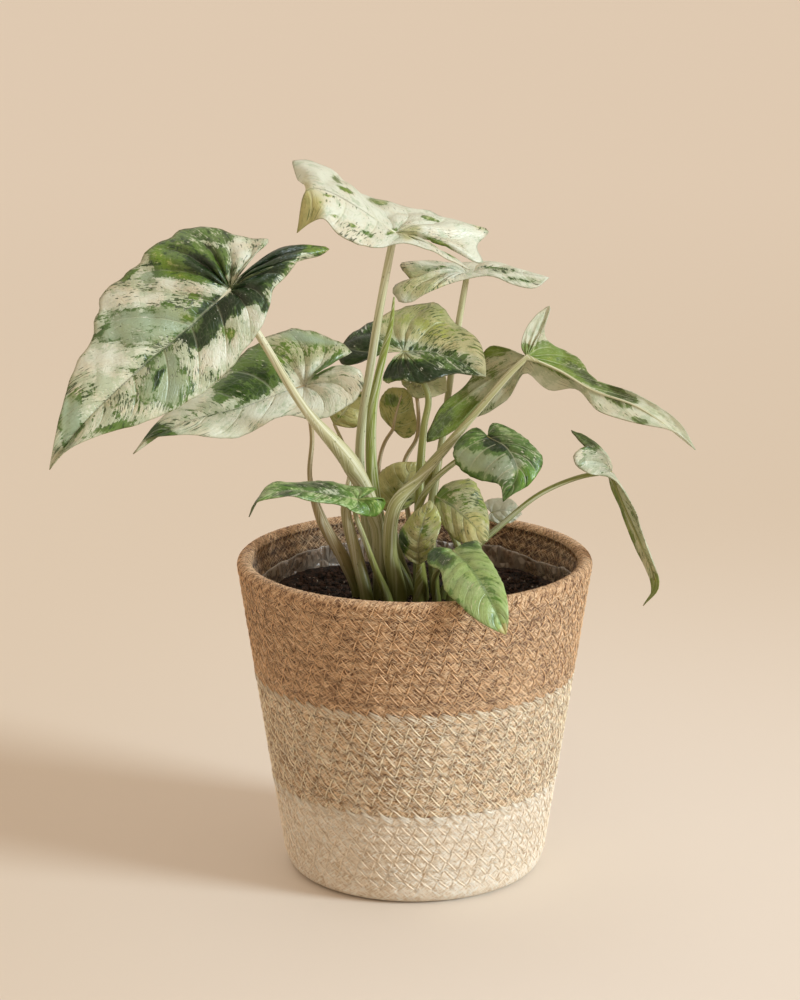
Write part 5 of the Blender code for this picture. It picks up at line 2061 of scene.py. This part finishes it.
MIXED_LEAVES = (
    Leaf("leaf_centre", (2, 16),
        ((420, 478, 20), (424, 427, 21), (428, 395, 25)),
        (3.4, 2.9, 2.3, 2.1, 1.9),
        ((404, 352, 30), (430, 352, 30), (462, 363, 22), (486, 377, 13)),
        ((388, 346, 34), (362, 362, 30), (341, 364, 30), (343, 342, 38), (373, 323, 46), (405, 306, 54),
         (438, 304, 56), (453, 322, 48), (478, 340, 34), (485, 360, 22)),
        ((392, 360, 24), (383, 380, 19), (404, 382, 12), (430, 381, 8), (457, 374, 14)),
        Tint.PALE_OLIVE,
        (Patch(357, 346, 24, 26, -30, Tint.DARK), Patch(362, 332, 12, 4, -40, Tint.SLATE),
         Patch(430, 352, 54, 7, 12, Tint.MARBLED), Patch(420, 373, 58, 14, 5, Tint.DARK),
         Patch(458, 368, 24, 5, 15, Tint.MARBLED), Patch(424, 322, 34, 18, 10, Tint.MOSS)),
        stalk_green=0.8),
    Leaf("leaf_under_centre", (3, 33),
        ((404, 465, 34), (417, 437, 34), (418, 407, 35)),
        (1.9, 1.6, 1.3, 1.2, 1.1),
        ((415, 388, 38), (428, 384, 38), (447, 392, 36)),
        ((406, 372, 44), (425, 366, 46), (444, 374, 42)),
        ((402, 378, 38), (408, 393, 32), (428, 398, 31)),
        Tint.PALE_OLIVE, veins=5, stalk_warm=0.8),
    Leaf("leaf_far_right", (-9, -4),
        ((390, 545, -11), (396, 505, -10), (418, 480, -3), (474, 415, 6), (510, 373, 9)),
        (5.6, 4.6, 4.6, 3.8, 2.3, 2.1, 1.9),
        ((527, 357, 12), (560, 371, 10), (592, 390, 4), (640, 408, -6), (696, 450, -16)),
        ((521, 345, 18), (530, 322, 24), (550, 306, 28), (545, 336, 22), (577, 357, 22), (597, 381, 12),
         (634, 393, 2), (679, 422, -8)),
        ((505, 348, 20), (487, 348, 31), (470, 380, 31), (440, 408, 28), (428, 442, 24), (470, 421, 24),
         (507, 400, 22), (526, 372, 18), (549, 390, 16), (576, 389, 12), (598, 410, -6), (640, 424, -16),
         (677, 433, -20)),
        Tint.SPECKLED,
        (Patch(648, 420, 74, 34, 30, Tint.WHITE), Patch(618, 396, 20, 8, 25, Tint.DEEP),
         # The cream patch at 505, 375 is partly the leaf's own cream and partly painted light, lifting a
         # lower face that lies in shade
         Patch(505, 375, 40, 28, -40, Tint.CREAM), Patch(450, 414, 48, 19, -42, Tint.BRIGHT),
         Patch(480, 388, 14, 9, -45, Tint.CREAM), Patch(440, 424, 20, 9, -42, Tint.DEEP),
         Patch(560, 362, 54, 11, 28, Tint.BRIGHT), Patch(582, 374, 22, 5, 34, Tint.DEEP),
         # The cream patch at 548, 388 is partly the leaf's own cream and partly painted light, lifting a
         # lower face that lies in shade
         Patch(494, 351, 16, 6, -10, Tint.BRIGHT), Patch(548, 388, 40, 10, 8, Tint.CREAM),
         Patch(640, 421, 9, 3, 20, Tint.DEEP), Patch(655, 412, 16, 3, 25, Tint.SPECKLED),
         Patch(540, 318, 20, 34, 20, Tint.WHITE)),
        0.07, veins=12, calm=0.3, stalk_green=0.5, stalk_warm=0.25),
    Leaf("leaf_drooping_right", (17, 2),
        ((468, 556, 2), (506, 521, 4), (540, 494, 6), (580, 477, 8)),
        (3.0, 2.4, 1.8, 1.6, 1.5, 1.3),
        ((611, 472, 8), (622, 500, 2), (640, 540, -6), (655, 583, -12), (643, 606, -14)),
        ((609, 458, 14), (583, 434, 22), (570, 431, 24), (590, 450, 12), (606, 466, 12), (612, 492, 12),
         (632, 540, 4), (650, 579, -4), (651, 595, -10)),
        ((603, 454, 2), (583, 447, -8), (572, 460, -10), (590, 473, -4), (612, 478, -2), (628, 500, -10),
         (646, 545, -18), (659, 586, -20)),
        # The cream ground is partly the leaf's own colour and partly painted light, lifting a lower face that
        # lies in shade
        Tint.CREAM,
        (Patch(585, 440, 20, 8, 30, Tint.DEEP), Patch(592, 462, 20, 9, 20, Tint.MINT),
         Patch(642, 530, 6, 50, -22, Tint.SPECKLED), Patch(620, 510, 4, 34, -22, Tint.BRIGHT),
         Patch(636, 556, 4, 24, -22, Tint.BRIGHT), Patch(653, 592, 10, 16, 0, Tint.BRIGHT)),
        0.06,
        (2, 0.8),
        stalk_green=0.9),
    Leaf("leaf_pale_right", (21, -8),
        ((462, 560, -8), (450, 530, -4), (438, 510, -4)),
        (3.0, 2.4, 1.8, 1.6, 1.4),
        ((436, 497, -6), (452, 505, -12), (470, 521, -20), (488, 541, -26)),
        ((446, 484, 2), (470, 480, 2), (483, 498, -6), (489, 525, -18)),
        ((436, 508, -12), (446, 530, -18), (462, 543, -25), (478, 546, -27)),
        Tint.MOSS,
        (Patch(440, 494, 14, 9, 0, Tint.BRIGHT), Patch(462, 500, 24, 13, 10, Tint.OLIVE),
         Patch(474, 528, 12, 16, 20, Tint.STRAW)),
        veins=6, calm=0.5, stalk_green=0.8),
    Leaf("leaf_spotted", (3, -10),
        ((421, 583, -14),),
        (4.6, 4.0, 2.4),
        ((420, 564, -20), (418, 545, -26), (423, 521, -27), (430, 500, -22)),
        ((409, 560, -22), (401, 548, -22), (400, 532, -22), (412, 515, -22)),
        ((430, 556, -26), (437, 538, -28), (441, 524, -27), (438, 510, -25)),
        Tint.MOSS,
        (Patch(402, 545, 6, 18, 0, Tint.DEEP), Patch(425, 530, 7, 7, 10, Tint.OLIVE)),
        veins=6, calm=0.3, stalk_green=1.0),
    Leaf("leaf_pale_behind", (22, 12),
        ((472, 545, 14), (485, 525, 16)),
        (2.4, 1.9, 1.5, 1.3),
        ((492, 513, 18), (503, 510, 16), (522, 514, 12)),
        ((484, 503, 24), (494, 499, 26), (512, 500, 22)),
        ((488, 519, 14), (500, 524, 10), (512, 522, 9)),
        Tint.WHITE, ripple=(1, 0.3), veins=5, veining=0.1, swell=0.012),
    Leaf("leaf_grey_behind", (-3, 26),
        ((402, 560, 27), (394, 530, 28)),
        (2.6, 2.2, 1.9, 1.6),
        ((394, 512, 28), (400, 492, 28), (408, 475, 28), (414, 462, 30)),
        ((384, 510, 28), (378, 492, 28), (380, 473, 30), (396, 463, 32)),
        ((406, 508, 29), (424, 494, 31), (434, 474, 32), (427, 462, 33)),
        # The straw ground is partly the leaf's own colour and partly painted light, lifting a leaf that lies
        # in shade
        Tint.STRAW,
        (Patch(405, 500, 22, 14, 0, Tint.MOSS),),
        veins=6, calm=0.4),
)

GREEN_LEAVES = (
    Leaf("leaf_dark_right", (6, 2),
        ((418, 512, 0), (432, 483, -1), (458, 460, -2), (478, 447, -4)),
        (2.9, 2.6, 1.9, 1.7, 1.6, 1.4),
        ((488, 437, -8), (508, 449, -22), (518, 472, -32), (503, 502, -36)),
        ((492, 424, -2), (510, 428, -8), (533, 446, -20), (543, 460, -26), (530, 484, -34), (513, 494, -37)),
        ((476, 428, -4), (455, 444, -8), (457, 465, -16), (481, 481, -26), (500, 485, -34)),
        Tint.GREEN,
        (Patch(500, 466, 30, 14, 10, Tint.GREY), Patch(494, 444, 12, 7, 20, Tint.DARK),
         Patch(470, 460, 14, 10, 30, Tint.SAGE), Patch(526, 478, 10, 14, 0, Tint.BRIGHT),
         Patch(478, 438, 14, 5, -30, Tint.FRESH), Patch(512, 434, 18, 4, 20, Tint.FRESH)),
        0.10, veins=8, veining=0.6, swell=0.06, stalk_green=0.8),
    Leaf("leaf_small_left", (-15, -14),
        ((376, 570, -20), (363, 535, -29), (355, 512, -36)),
        (3.0, 2.2, 1.7, 1.5, 1.3),
        ((357, 500, -40), (335, 495, -44), (290, 491, -54), (260, 497, -60), (249, 517, -64)),
        ((372, 492, -34), (377, 489, -30), (350, 485, -28), (327, 483, -30), (300, 481, -36),
         (266, 488, -50)),
        ((372, 500, -42), (386, 500, -40), (378, 515, -42), (358, 514, -46), (330, 503, -54),
         (286, 498, -64), (256, 502, -66)),
        Tint.FRESH,
        (Patch(376, 500, 12, 16, 0, Tint.BRIGHT), Patch(330, 492, 18, 5, 5, Tint.MARBLED),
         Patch(290, 494, 16, 4, 0, Tint.MARBLED), Patch(310, 486, 30, 3, 0, Tint.DEEP),
         Patch(252, 506, 9, 12, 0, Tint.DARK)),
        stalk_green=0.7),
    Leaf("leaf_over_rim", (13, -13),
        ((435, 578, -24), (444, 562, -40)),
        (3.0, 2.1, 1.6, 1.3),
        ((453, 551, -56), (470, 566, -80), (489, 596, -108), (506, 635, -117)),
        ((463, 548, -52), (476, 541, -48), (484, 553, -66), (499, 575, -92), (508, 606, -112),
         (508, 626, -116)),
        ((442, 548, -54), (430, 551, -58), (427, 560, -64), (440, 572, -80), (446, 590, -100),
         (470, 615, -114), (492, 629, -118)),
        Tint.LEAFY,
        (Patch(438, 557, 15, 10, 20, Tint.DEEP), Patch(466, 543, 14, 5, 15, Tint.DEEP),
         Patch(488, 590, 5, 24, -35, Tint.FRESH), Patch(466, 610, 5, 28, -50, Tint.FRESH),
         Patch(505, 632, 9, 9, 0, Tint.STRAW)),
        0.10, veining=0.15, swell=0.03, calm=0.45, stalk_green=0.8),
)

BROWN_LEAVES = (
    Leaf("leaf_brown_left", (-28, -7),
        ((358, 560, -4), (346, 510, 2), (350, 470, 12), (344, 446, 20)),
        (4.4, 4.2, 3.4, 1.3, 1.1, 1.0),
        ((334, 424, 24), (345, 410, 26), (362, 392, 30)),
        ((328, 410, 30), (338, 396, 34), (352, 384, 36)),
        ((344, 427, 24), (358, 426, 24), (366, 406, 28)),
        Tint.BROWNISH, veins=5, stalk_warm=0.5),
    Leaf("leaf_brown_middle", (-20, 26),
        ((379, 530, 32), (379, 465, 38), (384, 444, 40)),
        (2.4, 1.8, 1.3, 1.2, 1.1),
        ((393, 429, 42), (396, 414, 42), (400, 400, 42), (404, 388, 40)),
        ((384, 420, 44), (379, 405, 44), (388, 389, 44)),
        ((404, 438, 43), (416, 432, 43), (414, 408, 43), (411, 394, 42)),
        Tint.BROWNISH,
        (Patch(393, 400, 8, 6, 0, Tint.GREEN),),
        veins=5, stalk_warm=0.8),
)

LEAVES: dict[LeafKind, tuple[Leaf, ...]] = {
    LeafKind.WHITE: WHITE_LEAVES, LeafKind.MIXED: MIXED_LEAVES, LeafKind.GREEN: GREEN_LEAVES,
    LeafKind.BROWN: BROWN_LEAVES,
}


@dataclass(frozen=True)
class Studio:
    """A plain pale floor, soft light from the right, a large soft lamp above and even light all round."""

    floor_near: Colour = srgb(236, 228, 217)
    # Painted shade: the darker paper on the left, where the plant's shadow falls
    floor_left_shade: Colour = srgb(214, 200, 181)
    floor_far: Colour = srgb(223, 209, 191)
    floor_grain: Noise = Noise(700, 2.0)
    near_edges: tuple[Steps, Steps] = ((0.9, -0.2), (-0.45, 0.2))  # in metres back, and to the right
    far_edge: Steps = (0.6, 3.0)
    reach: float = 14.0
    aim: Point = (0, 0, 0.2)
    fill: float = 0.72
    fill_colour: Colour = (1.0, 0.82, 0.66, 1.0)
    sun: float = 2.95
    sun_colour: Point = (0.80, 0.92, 1.0)
    sun_from: Point = (1.0, -0.42, 0.62)
    softness: float = math.radians(17)
    top: float = 2.5
    top_colour: Point = (0.95, 0.98, 1.0)
    top_from: Point = (-0.5, 0.7, 1.5)
    top_size: float = 1.2

    def lamp(self, kind: str, place: Point, colour: Point, power: float) -> bpy.types.Light:
        """Adds a lamp that points at the plant.

        Args:
            kind: the type of lamp.
            place: where it stands.
            colour: the colour of its light.
            power: how strong it is.

        Returns:
            The lamp.
        """
        data = bpy.data.lights.new(kind.lower(), kind)
        data.energy = power
        data.color = colour
        made = show(kind.lower(), data)
        made.location = place
        made.rotation_euler = (Vector(self.aim) - Vector(place)).to_track_quat("-Z", "Y").to_euler()
        return data

    def paper(self) -> Look:
        """Makes the floor's pale paper, whose tone changes slowly towards the back, with painted shade that
        darkens it on the left, where the plant's shadow falls.

        Returns:
            The material.
        """
        graph = Graph("floor_paper")
        place = graph.place()
        right, back = graph.part(place, 0), graph.part(place, 1)
        near = back.step(*self.near_edges[0]) * right.step(*self.near_edges[1])
        behind = graph.blend(back.step(*self.far_edge), self.floor_left_shade, self.floor_far)
        colour = graph.blend(near, behind, self.floor_near)
        grain = graph.noise(place, self.floor_grain)
        bump = graph.bump(grain, 0.05, 0.2 * MM)
        return graph.finish(graph.surface(colour, 0.9 + grain.sway(0.1), bump))

    def floor(self) -> None:
        """Lays the floor."""
        built = bmesh.new()
        bmesh.ops.create_grid(built, x_segments=8, y_segments=8, size=self.reach)
        floor = show("floor", mesh_from(built, "floor"))
        floor.data.materials.append(self.paper())

    def light(self) -> None:
        """Adds the lamps and the even light from all round."""
        world = bpy.data.worlds.new("studio")
        world.use_nodes = True
        back = world.node_tree.nodes["Background"]
        back.inputs["Color"].default_value = self.fill_colour
        back.inputs["Strength"].default_value = self.fill
        bpy.context.scene.world = world
        self.lamp("SUN", self.sun_from, self.sun_colour, self.sun).angle = self.softness
        self.lamp("AREA", self.top_from, self.top_colour, self.top).size = self.top_size
        bpy.context.scene.view_settings.view_transform = "Standard"

    def build(self) -> None:
        """Sets the stage."""
        self.floor()
        self.light()


def main() -> None:
    """Builds the piece class by class."""
    logging.basicConfig(level=logging.INFO, format="%(name)s: %(message)s")
    chance = np.random.default_rng(SEED)
    basket = Basket()
    basket.build(chance)
    Liner().build(basket)
    Soil().build(basket, chance)
    for kind, leaves in LEAVES.items():
        finish = kind.value
        looks = {"upper": finish.upper(), "lower": finish.lower(), "stalk": finish.stalk()}
        for leaf in leaves:
            leaf.build(kind, looks, chance)
        if kind is LeafKind.GREEN:
            Spear().build(kind, looks["stalk"])
    Studio().build()
    VIEW.make_camera()


if __name__ == "__main__":
    main()
